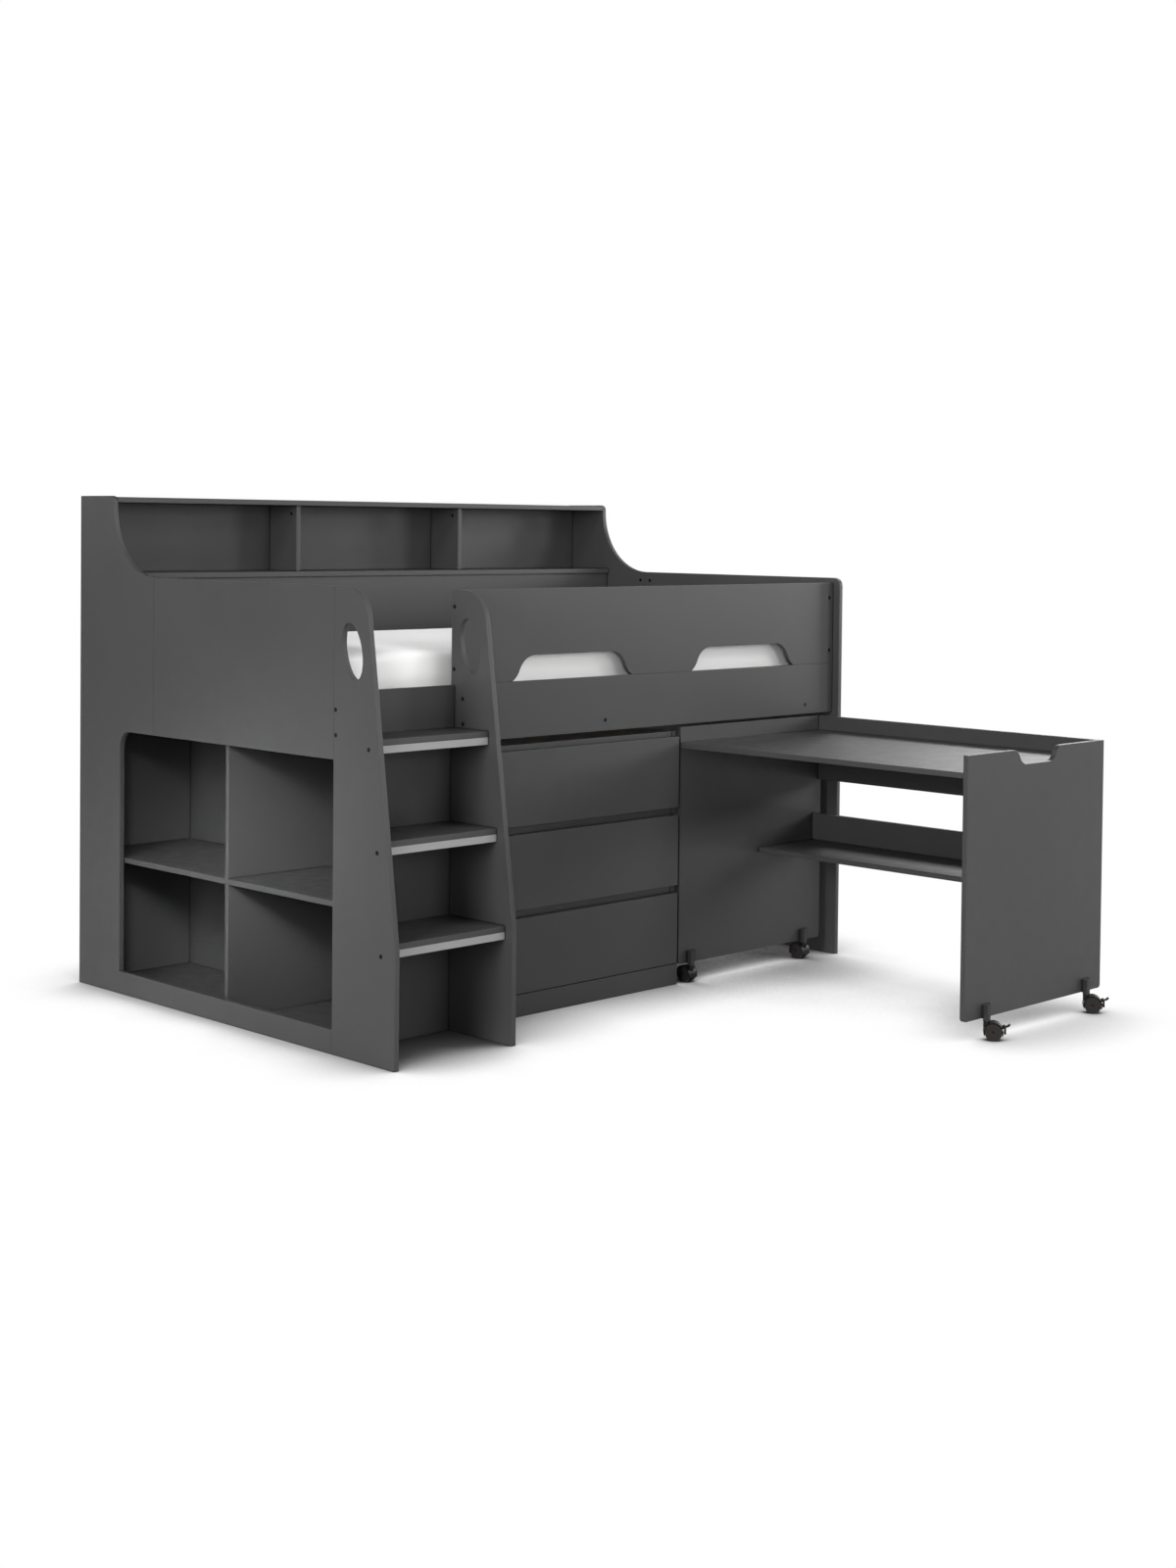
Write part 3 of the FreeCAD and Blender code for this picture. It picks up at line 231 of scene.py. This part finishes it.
for name in CUBBY_BOARDS:
    finish_node(name, lacquer, EASED_EDGE)

# Slatted base: planed softwood slats laid across two rails, which are screwed to the front rail and to
# the panel at the back. The timber is left plain, with its grain along each slat.

PALE_TIMBER = (0.66, 0.55, 0.42, 1.0)
LATE_WOOD = (0.50, 0.38, 0.26, 1.0)
GRAIN_DRAWN_OUT = 0.05       # share of a pattern's fineness that is left along the grain
RINGS, FIBRES = 16.0, 300.0  # to the metre
PLANED_EDGE = 0.002


def plain_timber(name, along):
    """Softwood: rings are a wave across the board, bent by noise that is drawn out along the grain. The
    late wood between them is darker and a little harder, so it stands up."""
    material = bpy.data.materials.new(name)
    material.use_nodes = True
    tree = material.node_tree
    skin = tree.nodes["Principled BSDF"]
    place = place_node(tree, "ShaderNodeTexCoord").outputs["Object"]
    drawn = [1.0, 1.0, 1.0]
    drawn[along] = GRAIN_DRAWN_OUT
    grain = place_node(tree, "ShaderNodeMapping", {"Vector": place, "Scale": drawn}).outputs[0]
    bent = {"Distortion": 7.0, "Detail": 2.0, "Detail Scale": 1.4}
    ring = place_node(tree, "ShaderNodeTexWave", {"Vector": grain, "Scale": RINGS, **bent},
                      bands_direction="DIAGONAL").outputs["Fac"]
    fibre = times(tree, noise(tree, grain, FIBRES), 0.5)
    late = span(tree, plus(tree, ring, fibre), 0.0, 0.75, 0.45, 1.35)
    wood = place_node(tree, "ShaderNodeMix", {0: late, 6: PALE_TIMBER, 7: LATE_WOOD}, data_type="RGBA")
    tree.links.new(wood.outputs[2], skin.inputs["Base Color"])
    tree.links.new(span(tree, late, 0.62, 0.48, 0.0, 0.75), skin.inputs["Roughness"])
    bump = place_node(tree, "ShaderNodeBump", {"Height": late, "Strength": 0.4, "Distance": 0.0003})
    tree.links.new(bump.outputs[0], skin.inputs["Normal"])
    return material


finish_node("slats", plain_timber("slat_timber", along=1), PLANED_EDGE)
finish_node("slat_rails", plain_timber("rail_timber", along=0), PLANED_EDGE)

# Mattress: a foam core in a white knitted cover, laid loose on the slats. The cover is drawn tight over
# the core, which crowns the top, draws the sides in between the corners and rounds the edges.

VOXEL = 0.014                # size of the cover's even faces
START_SMALLER = 0.003        # what the cover loses all round before it is blown up
MOST_MOVED = 0.006
AIR_PRESSURE = 4.0
COVER_WHITE = (0.84, 0.84, 0.835, 1.0)
STITCHES, SHADES, FOLDS = 110.0, 5.0, 9.0    # features of the knit to the metre


def merged_copy(node, name):
    """A copy of a node's mesh in a new object, with its loose triangles joined."""
    mesh = nodes[node].data.copy()
    mesh.name = name
    shape = bmesh.new()
    shape.from_mesh(mesh)
    bmesh.ops.remove_doubles(shape, verts=shape.verts, dist=SAME_POINT)
    shape.to_mesh(mesh)
    shape.free()
    if "custom_normal" in mesh.attributes:
        mesh.attributes.remove(mesh.attributes["custom_normal"])
    piece = bpy.data.objects.new(name, mesh)
    bpy.context.scene.collection.objects.link(piece)
    return piece


def points_of(mesh):
    """A mesh's points as one array of rows."""
    flat = np.empty(len(mesh.vertices) * 3)
    mesh.vertices.foreach_get("co", flat)
    return flat.reshape(-1, 3)


def applied(piece):
    """Puts what the modifiers make of a piece into its mesh, and takes the modifiers off."""
    finished = piece.evaluated_get(bpy.context.evaluated_depsgraph_get())
    made = bpy.data.meshes.new_from_object(finished)
    piece.modifiers.clear()
    piece.data = made
    made.name = piece.name
    return made


def filled(piece, frames=20):
    """Blows the cover up as cloth with air in it. No point moves further than the most, and none below
    the slats."""
    cloth = piece.modifiers.new("cover", "CLOTH")
    cloth.settings.use_pressure = True
    cloth.settings.uniform_pressure_force = AIR_PRESSURE
    cloth.settings.quality = 5
    cloth.settings.effector_weights.gravity = 0.0
    cloth.point_cache.frame_start = 1
    cloth.point_cache.frame_end = frames
    start = points_of(piece.data)
    floor = start[:, 2].min()
    for step in range(1, frames + 1):
        bpy.context.scene.frame_set(step)
    mesh = applied(piece)
    bpy.context.scene.frame_set(1)
    moved = points_of(mesh) - start
    far = np.maximum(np.linalg.norm(moved, axis=1, keepdims=True), 1e-9)
    ended = start + moved * np.minimum(1.0, MOST_MOVED / far)
    ended[:, 2] = np.maximum(ended[:, 2], floor)
    mesh.vertices.foreach_set("co", ended.ravel())
    mesh.update()


def knitted_cover(name):
    """Knitted cotton: one wave along each axis makes the stitches, a wide cloud shades the cloth, and slow
    noise lifts faint folds in it."""
    material = bpy.data.materials.new(name)
    material.use_nodes = True
    tree = material.node_tree
    skin = tree.nodes["Principled BSDF"]
    place = place_node(tree, "ShaderNodeTexCoord").outputs["Object"]
    course, wale, rise = (place_node(tree, "ShaderNodeTexWave",
                                     {"Vector": place, "Scale": STITCHES, "Distortion": 0.6},
                                     bands_direction=axis).outputs["Fac"] for axis in "XYZ")
    stitch = times(tree, plus(tree, plus(tree, course, wale), rise), 0.333)
    shade = span(tree, noise(tree, place, SHADES), 0.98, 1.02)
    strength = plus(tree, span(tree, stitch, -0.03, 0.03, 0.0, 1.0), shade)
    tree.links.new(tinted(tree, COVER_WHITE, strength), skin.inputs["Base Color"])
    tree.links.new(span(tree, stitch, 0.95, 0.85, 0.0, 1.0), skin.inputs["Roughness"])
    folds = place_node(tree, "ShaderNodeBump",
                       {"Height": noise(tree, place, FOLDS, 3.0), "Strength": 0.35, "Distance": 0.006})
    bump = place_node(tree, "ShaderNodeBump",
                      {"Height": stitch, "Strength": 0.4, "Distance": 0.0004, "Normal": folds.outputs[0]})
    tree.links.new(bump.outputs[0], skin.inputs["Normal"])
    skin.inputs["Sheen Weight"].default_value = 0.15
    skin.inputs["Specular IOR Level"].default_value = 0.2
    return material


mattress = merged_copy("mattress", "mattress_cover")
remesh = mattress.modifiers.new("even_cloth", "REMESH")
remesh.mode = "VOXEL"
remesh.voxel_size = VOXEL
cover = applied(mattress)
low, high = (np.array(corner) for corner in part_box("mattress"))
middle = (low + high) / 2
smaller = 1 - START_SMALLER / ((high - low) / 2)
outline = middle + (points_of(cover) - middle) * smaller
outline[:, 2] = np.maximum(outline[:, 2], low[2])
cover.vertices.foreach_set("co", outline.ravel())
cover.update()
filled(mattress)
cover = mattress.data
cover.shade_smooth()
round_cover = mattress.modifiers.new("round_cover", "SUBSURF")
round_cover.levels = round_cover.render_levels = 1
cover.materials.clear()
cover.materials.append(knitted_cover("white_knit"))
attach(mattress, "bed_frame")
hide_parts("mattress")

# Chest of drawers under the front rail: a carcass of two sides, decks, cross rails, plinth and a thin
# back, lacquered as the bed. Pressed steel runners, zinc-plated, are screwed to its sides from within.

CHEST_BOARDS = ("chest_sides", "chest_decks", "chest_rails", "chest_plinth")
ZINC = (0.50, 0.50, 0.51, 1.0)
CRYSTALS, ROLL_LINES = 180.0, 900.0          # to the metre
LINES_DRAWN_OUT = (1.0, 0.02, 1.0)
SHEET_EDGE = 0.0004          # rounding of thin sheet and pressed steel


def plated_steel(name, colour):
    """Zinc plate: cells of crystals set its brightness and roughness, under fine lines of the rolls."""
    material = bpy.data.materials.new(name)
    material.use_nodes = True
    tree = material.node_tree
    skin = tree.nodes["Principled BSDF"]
    place = place_node(tree, "ShaderNodeTexCoord").outputs["Object"]
    cells = place_node(tree, "ShaderNodeTexVoronoi", {"Vector": place, "Scale": CRYSTALS})
    crystal = cells.outputs["Color"]
    lines = place_node(tree, "ShaderNodeMapping", {"Vector": place, "Scale": LINES_DRAWN_OUT})
    rolled = noise(tree, lines.outputs[0], ROLL_LINES, 1.0)
    brightness = span(tree, crystal, 0.9, 1.08, 0.0, 1.0)
    dull = span(tree, plus(tree, crystal, rolled), 0.28, 0.46, 0.3, 1.5)
    tree.links.new(tinted(tree, colour, brightness), skin.inputs["Base Color"])
    tree.links.new(dull, skin.inputs["Roughness"])
    bump = place_node(tree, "ShaderNodeBump", {"Height": rolled, "Strength": 0.3, "Distance": 0.00005})
    tree.links.new(bump.outputs[0], skin.inputs["Normal"])
    skin.inputs["Metallic"].default_value = 1.0
    return material


for name in CHEST_BOARDS:
    finish_node(name, lacquer, EASED_EDGE)
finish_node("chest_back", lacquer, SHEET_EDGE)
zinc = plated_steel("zinc_plate", ZINC)
finish_node("chest_runners", zinc, SHEET_EDGE)

# Three drawers: a lacquered front without a handle, lifted by the finger gap below it, on a box of
# thinner grey-foiled board. A steel runner is screwed along each side of the box.

BOX_GREY = (0.15, 0.15, 0.155, 1.0)

box_foil = film_finish("drawer_foil", sprayed, BOX_GREY, cloud=0.03, speck=0.10, dull=0.5, peel=0.00008)
for drawer in ("drawer_1", "drawer_2", "drawer_3"):
    finish_node(drawer + "_front", lacquer, EASED_EDGE)
    finish_node(drawer + "_box", box_foil, FOIL_EDGE)
    finish_node(drawer + "_runners", zinc, SHEET_EDGE)

# Desk that rolls out of the bay beside the chest: two end panels, the outer one with a hand notch, a
# top, a raised back and a low shelf with its rail. The boards are lacquered as the bed.

DESK_BOARDS = ("desk_top", "desk_outer_panel", "desk_inner_panel", "desk_back_panel", "desk_shelf",
               "desk_shelf_rail")

for name in DESK_BOARDS:
    finish_node(name, lacquer, EASED_EDGE)

# Casters: moulded nylon hoods over twin wheels, on pressed steel brackets with a grey powder coat. The
# two under the outer panel have a moulded brake lever that a foot presses down.

HOOD_BLACK = (0.006, 0.0056, 0.0056, 1.0)
WHEEL_BROWN = (0.015, 0.0125, 0.0118, 1.0)
LEVER_BLACK = (0.005, 0.0048, 0.0048, 1.0)
POWDER_GREY = (0.030, 0.030, 0.0305, 1.0)
NYLON_SHINE = 0.25
BRACKET_EDGE, MOULDED_EDGE, WHEEL_EDGE = 0.0006, 0.0004, 0.0016

powder = film_finish("grey_powder_coat", sprayed, POWDER_GREY, cloud=0.04, speck=0.2, dull=0.42,
                     peel=0.0002, shine=NYLON_SHINE)
hood_nylon = film_finish("hood_nylon", sprayed, HOOD_BLACK, cloud=0.03, speck=0.12, dull=0.4,
                         peel=0.00008, shine=NYLON_SHINE)
wheel_nylon = film_finish("wheel_nylon", sprayed, WHEEL_BROWN, cloud=0.05, speck=0.15, dull=0.5,
                          peel=0.0001, shine=NYLON_SHINE)
lever_nylon = film_finish("lever_nylon", sprayed, LEVER_BLACK, cloud=0.03, speck=0.12, dull=0.38,
                          peel=0.00008, shine=NYLON_SHINE)
finish_node("caster_brackets", powder, BRACKET_EDGE)
for caster in ("outer_left", "outer_right", "inner_left", "inner_right"):
    finish_node(caster + "_caster_hood", hood_nylon, MOULDED_EDGE)
    finish_node(caster + "_caster_wheels", wheel_nylon, WHEEL_EDGE)
    if caster.startswith("outer"):
        finish_node(caster + "_brake_lever", lever_nylon, MOULDED_EDGE)

# Bolt heads: turned steel, blackened, with a hexagonal socket. The real ones are sunk in holes; these
# stand on the face, and the shade in the hole round each is painted on its outer rings. They draw the
# boards' joints together, and one holds each caster bracket to its panel.

BOLT_RADIUS = 0.0056
BOLT_RISE = 0.0009
SOCKET = 0.0021              # from the socket's middle to a flat
BOLT_STEPS = 24
SOCKET_RINGS = (0.02, 0.97, 1.0, 1.12)       # shares of the hexagon's radius
HEAD_RINGS = (0.0034, 0.0037, 0.0040)
RIM_WIDTH = 0.0002
RING_RISES = (0.15, 0.15, 0.85, 1.0, 0.82, 0.5, 0.35, 0.35, 0.0)   # shares of the head's rise
UPWARD = np.array((0.0, 0.0, 1.0))
LEFTWARD, FORWARD = (-1.0, 0.0, 0.0), (0.0, -1.0, 0.0)
STEEL_BLACK = (0.008, 0.008, 0.0082, 1.0)
STEEL_GRAINS, OIL_PATCHES = 1400.0, 700.0    # to the metre
LEFT_OUT, STILE_X, RAIL_Y = -0.975, -0.591, -0.05884
LEFT_STILE_BOLTS = ((-0.0508, 0.856), (-0.0518, 0.793), (-0.1798, 0.767), (-0.2148, 0.520),
                    (-0.2318, 0.271))
RIGHT_STILE_BOLTS = ((-0.0545, 1.103), (-0.0545, 0.941), (-0.0888, 0.866), (-0.0898, 0.801))
RAIL_BOLTS = ((-0.036, 0.779), (0.831, 0.777), (0.942, 1.101), (0.943, 0.940))
BOOKCASE_BOLTS = ((-0.330, 0.983, 1.3426), (0.315, 0.986, 1.3439))
END_BOLTS = ((0.960, 0.7638, 1.1352), (0.960, 0.7208, 1.1346))
BRACKET_BOLTS = ((0.372, -1.05084), (0.842, -1.05084), (0.331, -0.05684), (0.842, -0.05684))
BRACKET_Z = 0.083


def bolt_heads(name, body, middles, outward):
    """Heads on flat faces: a profile of radius and rise is turned about each outward line. The socket's
    rings follow a hexagon, whose radius is its apothem over the cosine of the angle from a flat."""
    middles = np.array(middles, float)
    normal = np.array(outward, float)
    across = np.cross(normal, UPWARD)
    turn = np.arange(BOLT_STEPS) * 2 * np.pi / BOLT_STEPS
    hexagon = SOCKET / np.cos((turn + np.pi / 6) % (np.pi / 3) - np.pi / 6)
    round_rings = np.array([*HEAD_RINGS, BOLT_RADIUS - RIM_WIDTH, BOLT_RADIUS])
    radius = np.concatenate([np.array(SOCKET_RINGS)[:, None] * hexagon,
                             np.repeat(round_rings[:, None], BOLT_STEPS, axis=1)])
    rise = BOLT_RISE * np.array(RING_RISES)
    rings = len(rise)
    spokes = np.cos(turn)[:, None] * across + np.sin(turn)[:, None] * UPWARD
    head = radius[..., None] * spokes + rise[:, None, None] * normal
    points = middles[:, None, None, :] + head
    index = np.arange(middles.shape[0] * rings * BOLT_STEPS).reshape(-1, rings, BOLT_STEPS)
    nearer, further = index[:, :-1], index[:, 1:]
    quads = np.stack([nearer, np.roll(nearer, -1, 2), np.roll(further, -1, 2), further], axis=-1)
    lids = index[:, 0]
    mesh = bpy.data.meshes.new(name)
    mesh.from_pydata(points.reshape(-1, 3), [], quads.reshape(-1, 4).tolist() + lids.tolist())
    ring = mesh.attributes.new("ring", "FLOAT", "POINT")
    depth = np.broadcast_to(np.linspace(0.0, 1.0, rings)[None, :, None], index.shape)
    ring.data.foreach_set("value", depth.ravel().astype(np.float32))
    shape = bmesh.new()
    shape.from_mesh(mesh)
    bmesh.ops.recalc_face_normals(shape, faces=shape.faces)
    shape.to_mesh(mesh)
    shape.free()
    mesh.materials.append(steel_and_hole_shade)
    piece = bpy.data.objects.new(name, mesh)
    bpy.context.scene.collection.objects.link(piece)
    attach(piece, body)


def blackened_steel_and_hole_shade(name):
    """Oiled black steel: the attribute ring runs from the socket to the rim, and its outer part is painted
    near black as painted shade of the hole's wall round the head."""
    material = bpy.data.materials.new(name)
    material.use_nodes = True
    tree = material.node_tree
    skin = tree.nodes["Principled BSDF"]
    ring = place_node(tree, "ShaderNodeAttribute", attribute_name="ring").outputs["Fac"]
    place = place_node(tree, "ShaderNodeTexCoord").outputs["Object"]
    # painted shade: the outer rings are darkened to a tenth, for the shadowed wall of the hole round the
    # head
    brightness = times(tree, span(tree, ring, 1.0, 0.1, 0.35, 0.55),
                       span(tree, noise(tree, place, STEEL_GRAINS), 0.75, 1.25))
    tree.links.new(tinted(tree, STEEL_BLACK, brightness), skin.inputs["Base Color"])
    tree.links.new(span(tree, noise(tree, place, OIL_PATCHES), 0.3, 0.5), skin.inputs["Roughness"])
    skin.inputs["Specular IOR Level"].default_value = 0.06
    return material


steel_and_hole_shade = blackened_steel_and_hole_shade("blackened_steel_and_hole_shade")
bolt_heads("left_stile_bolts", "bed_frame", [(LEFT_OUT, y, z) for y, z in LEFT_STILE_BOLTS], LEFTWARD)
bolt_heads("right_stile_bolts", "bed_frame", [(STILE_X, y, z) for y, z in RIGHT_STILE_BOLTS], LEFTWARD)
bolt_heads("rail_bolts", "bed_frame", [(x, RAIL_Y, z) for x, z in RAIL_BOLTS], FORWARD)
bolt_heads("bookcase_bolts", "bed_frame", BOOKCASE_BOLTS, LEFTWARD)
bolt_heads("right_end_bolts", "bed_frame", END_BOLTS, LEFTWARD)
bolt_heads("bracket_bolts", "desk", [(x, y, BRACKET_Z) for x, y in BRACKET_BOLTS], FORWARD)

# Stage: a white floor that runs into a white room without an edge. Soft lamps stand in a ring round
# the bed, the strongest on its left, and a small one with a grid looks into the cubbyholes. A bright
# wall lies beyond the right end.

FLOOR_HALF = 30.0
FLOOR_BOUNCE = 0.62          # share of light that the floor sends back
SHADE_REACH = 0.42           # how near a thing has to be to shade the floor
SHADE_DARKEST, SHADE_WHITE = 0.33, 0.88      # open share of the sky where the floor is darkest and white
NEAR_SHADE = 0.06            # white that is left there
BAY_REACH = 1.2              # height and width of the bay under the bed
BAY_SHADE, BAY_DARKEST, BAY_OPEN = 0.07, 0.08, 0.36  # white left in it, and open shares as above
SHADE_SAMPLES = 16
WALL_START, WALL_FULL, RIGHT_WALL = 0.3, 0.8, 0.48   # how far right the wall begins and is full, its light
WHITE = (1.0, 1.0, 1.0, 1.0)
LAMP_AIM = (0.2, 0.1, 0.7)
LAMP_REACH, LAMP_WIDTH = 6.0, 1.6
LAMPS = (
    # name, turn from the front towards the right and height in degrees, power
    ("rear_left_lamp", -105, 38, 63.0),
    ("left_lamp", -75, 12, 205.0),
    ("upper_left_lamp", -75, 38, 115.0),
    ("front_left_lamp", -45, 12, 52.0),
    ("front_lamp", 0, 12, 78.0),
    ("upper_front_lamp", 15, 38, 73.0),
    ("top_lamp", 15, 64, 45.0),
    ("front_right_lamp", 45, 12, 48.0),
    ("right_lamp", 75, 12, 165.0),
    ("rear_right_lamp", 107, 26, 84.0),
    ("rear_lamp", -165, 20, 150.0),
)
CUBBY_LAMP = ("cubby_lamp", -42, 24, 2.3)
CUBBY_LAMP_AIM = (-0.85, 0.55, 0.36)
CUBBY_LAMP_REACH, CUBBY_LAMP_WIDTH = 2.4, 0.45
CUBBY_LAMP_SPREAD = math.radians(24)


def white_floor(name):
    """Matt white paint. The camera sees it overexposed, with a soft shade where things stand close to
    it and a deep one where the bed closes it in."""
    material = bpy.data.materials.new(name)
    material.use_nodes = True
    tree = material.node_tree
    tree.nodes.clear()
    near_sky, wide_sky = (place_node(tree, "ShaderNodeAmbientOcclusion", {"Distance": reach},
                                     samples=SHADE_SAMPLES).outputs["AO"]
                          for reach in (SHADE_REACH, BAY_REACH))
    white = times(tree, span(tree, near_sky, NEAR_SHADE, 1.0, SHADE_DARKEST, SHADE_WHITE),
                  span(tree, wide_sky, BAY_SHADE, 1.0, BAY_DARKEST, BAY_OPEN))
    seen = place_node(tree, "ShaderNodeEmission", {"Strength": white})
    paint = place_node(tree, "ShaderNodeBsdfDiffuse",
                       {"Color": (FLOOR_BOUNCE, FLOOR_BOUNCE, FLOOR_BOUNCE, 1.0)})
    camera_ray = place_node(tree, "ShaderNodeLightPath").outputs["Is Camera Ray"]
    mixed = place_node(tree, "ShaderNodeMixShader",
                       {0: camera_ray, 1: paint.outputs[0], 2: seen.outputs[0]})
    place_node(tree, "ShaderNodeOutputMaterial", {"Surface": mixed.outputs[0]})
    return material


def white_room(name):
    """The room round the floor: white to the camera. Its right wall lights the bed from that end."""
    room = bpy.data.worlds.new(name)
    room.use_nodes = True
    tree = room.node_tree
    tree.nodes.clear()
    way = place_node(tree, "ShaderNodeTexCoord").outputs["Generated"]
    rightward = place_node(tree, "ShaderNodeSeparateXYZ", {0: way}).outputs["X"]
    strength = span(tree, rightward, 0.0, RIGHT_WALL, WALL_START, WALL_FULL)
    lit = place_node(tree, "ShaderNodeBackground", {"Color": WHITE, "Strength": strength})
    seen = place_node(tree, "ShaderNodeBackground", {"Color": WHITE, "Strength": 1.0})
    camera_ray = place_node(tree, "ShaderNodeLightPath").outputs["Is Camera Ray"]
    mixed = place_node(tree, "ShaderNodeMixShader",
                       {0: camera_ray, 1: lit.outputs[0], 2: seen.outputs[0]})
    place_node(tree, "ShaderNodeOutputWorld", {"Surface": mixed.outputs[0]})
    return room


def soft_lamp(name, turn, height, power, aim=LAMP_AIM, reach=LAMP_REACH, width=LAMP_WIDTH,
              spread=math.pi):
    """A square lamp on a ball round the point that it faces. A grid before it narrows its spread."""
    lamp = bpy.data.lights.new(name, "AREA")
    lamp.shape = "SQUARE"
    lamp.size = width
    lamp.spread = spread
    lamp.energy = power
    piece = bpy.data.objects.new(name, lamp)
    turn = math.radians(turn)
    height = math.radians(height)
    out = math.cos(height)
    back = np.array([math.sin(turn) * out, -math.cos(turn) * out, math.sin(height)])
    side = np.array([math.cos(turn), math.sin(turn), 0.0])
    turned = np.eye(4)
    turned[:3, :3] = np.stack([side, np.cross(back, side), back], axis=1)
    turned[:3, 3] = np.array(aim) + reach * back
    piece.matrix_world = Matrix(turned.tolist())
    piece.visible_camera = False
    bpy.context.scene.collection.objects.link(piece)


corners = FLOOR_HALF * np.array([(-1, -1, 0), (1, -1, 0), (1, 1, 0), (-1, 1, 0)])
floor_mesh = bpy.data.meshes.new("floor")
floor_mesh.from_pydata(corners.tolist(), [], [(0, 1, 2, 3)])
floor_mesh.materials.append(white_floor("floor_paint"))
floor = bpy.data.objects.new("floor", floor_mesh)
bpy.context.scene.collection.objects.link(floor)
bpy.context.scene.world = white_room("white_room")
for lamp in LAMPS:
    soft_lamp(*lamp)
soft_lamp(*CUBBY_LAMP, CUBBY_LAMP_AIM, CUBBY_LAMP_REACH, CUBBY_LAMP_WIDTH, CUBBY_LAMP_SPREAD)

# Camera: 1.3 m above the floor and turned 45 degrees to the bed, as the photograph was taken. The
# picture is 1200 by 1600 pixels, and its eye line lies above the middle.

PICTURE = (1200, 1600)
FOCAL_PIXELS = 2216.95
EYE_LINE = 598.76
EYE = (-4.309, -4.26594, 1.3152)
YAW, PITCH, ROLL = (math.radians(angle) for angle in (44.95, -1.61, 0.59))

ahead = np.array([math.sin(YAW) * math.cos(PITCH), math.cos(YAW) * math.cos(PITCH), math.sin(PITCH)])
level = np.array([math.cos(YAW), -math.sin(YAW), 0.0])
upright = np.cross(level, ahead)
eye_turn = np.eye(4)
eye_turn[:3, 0] = math.cos(ROLL) * level + math.sin(ROLL) * upright
eye_turn[:3, 1] = math.cos(ROLL) * upright - math.sin(ROLL) * level
eye_turn[:3, 2] = -ahead
eye_turn[:3, 3] = EYE
lens = bpy.data.cameras.new("photo_camera")
lens.sensor_width = 36.0
lens.lens = FOCAL_PIXELS * lens.sensor_width / max(PICTURE)
lens.shift_y = (EYE_LINE - PICTURE[1] / 2) / max(PICTURE)
lens.clip_end = 100.0
camera = bpy.data.objects.new("photo_camera", lens)
camera.matrix_world = Matrix(eye_turn.tolist())
bpy.context.scene.collection.objects.link(camera)
bpy.context.scene.camera = camera
bpy.context.scene.view_settings.view_transform = "Standard"
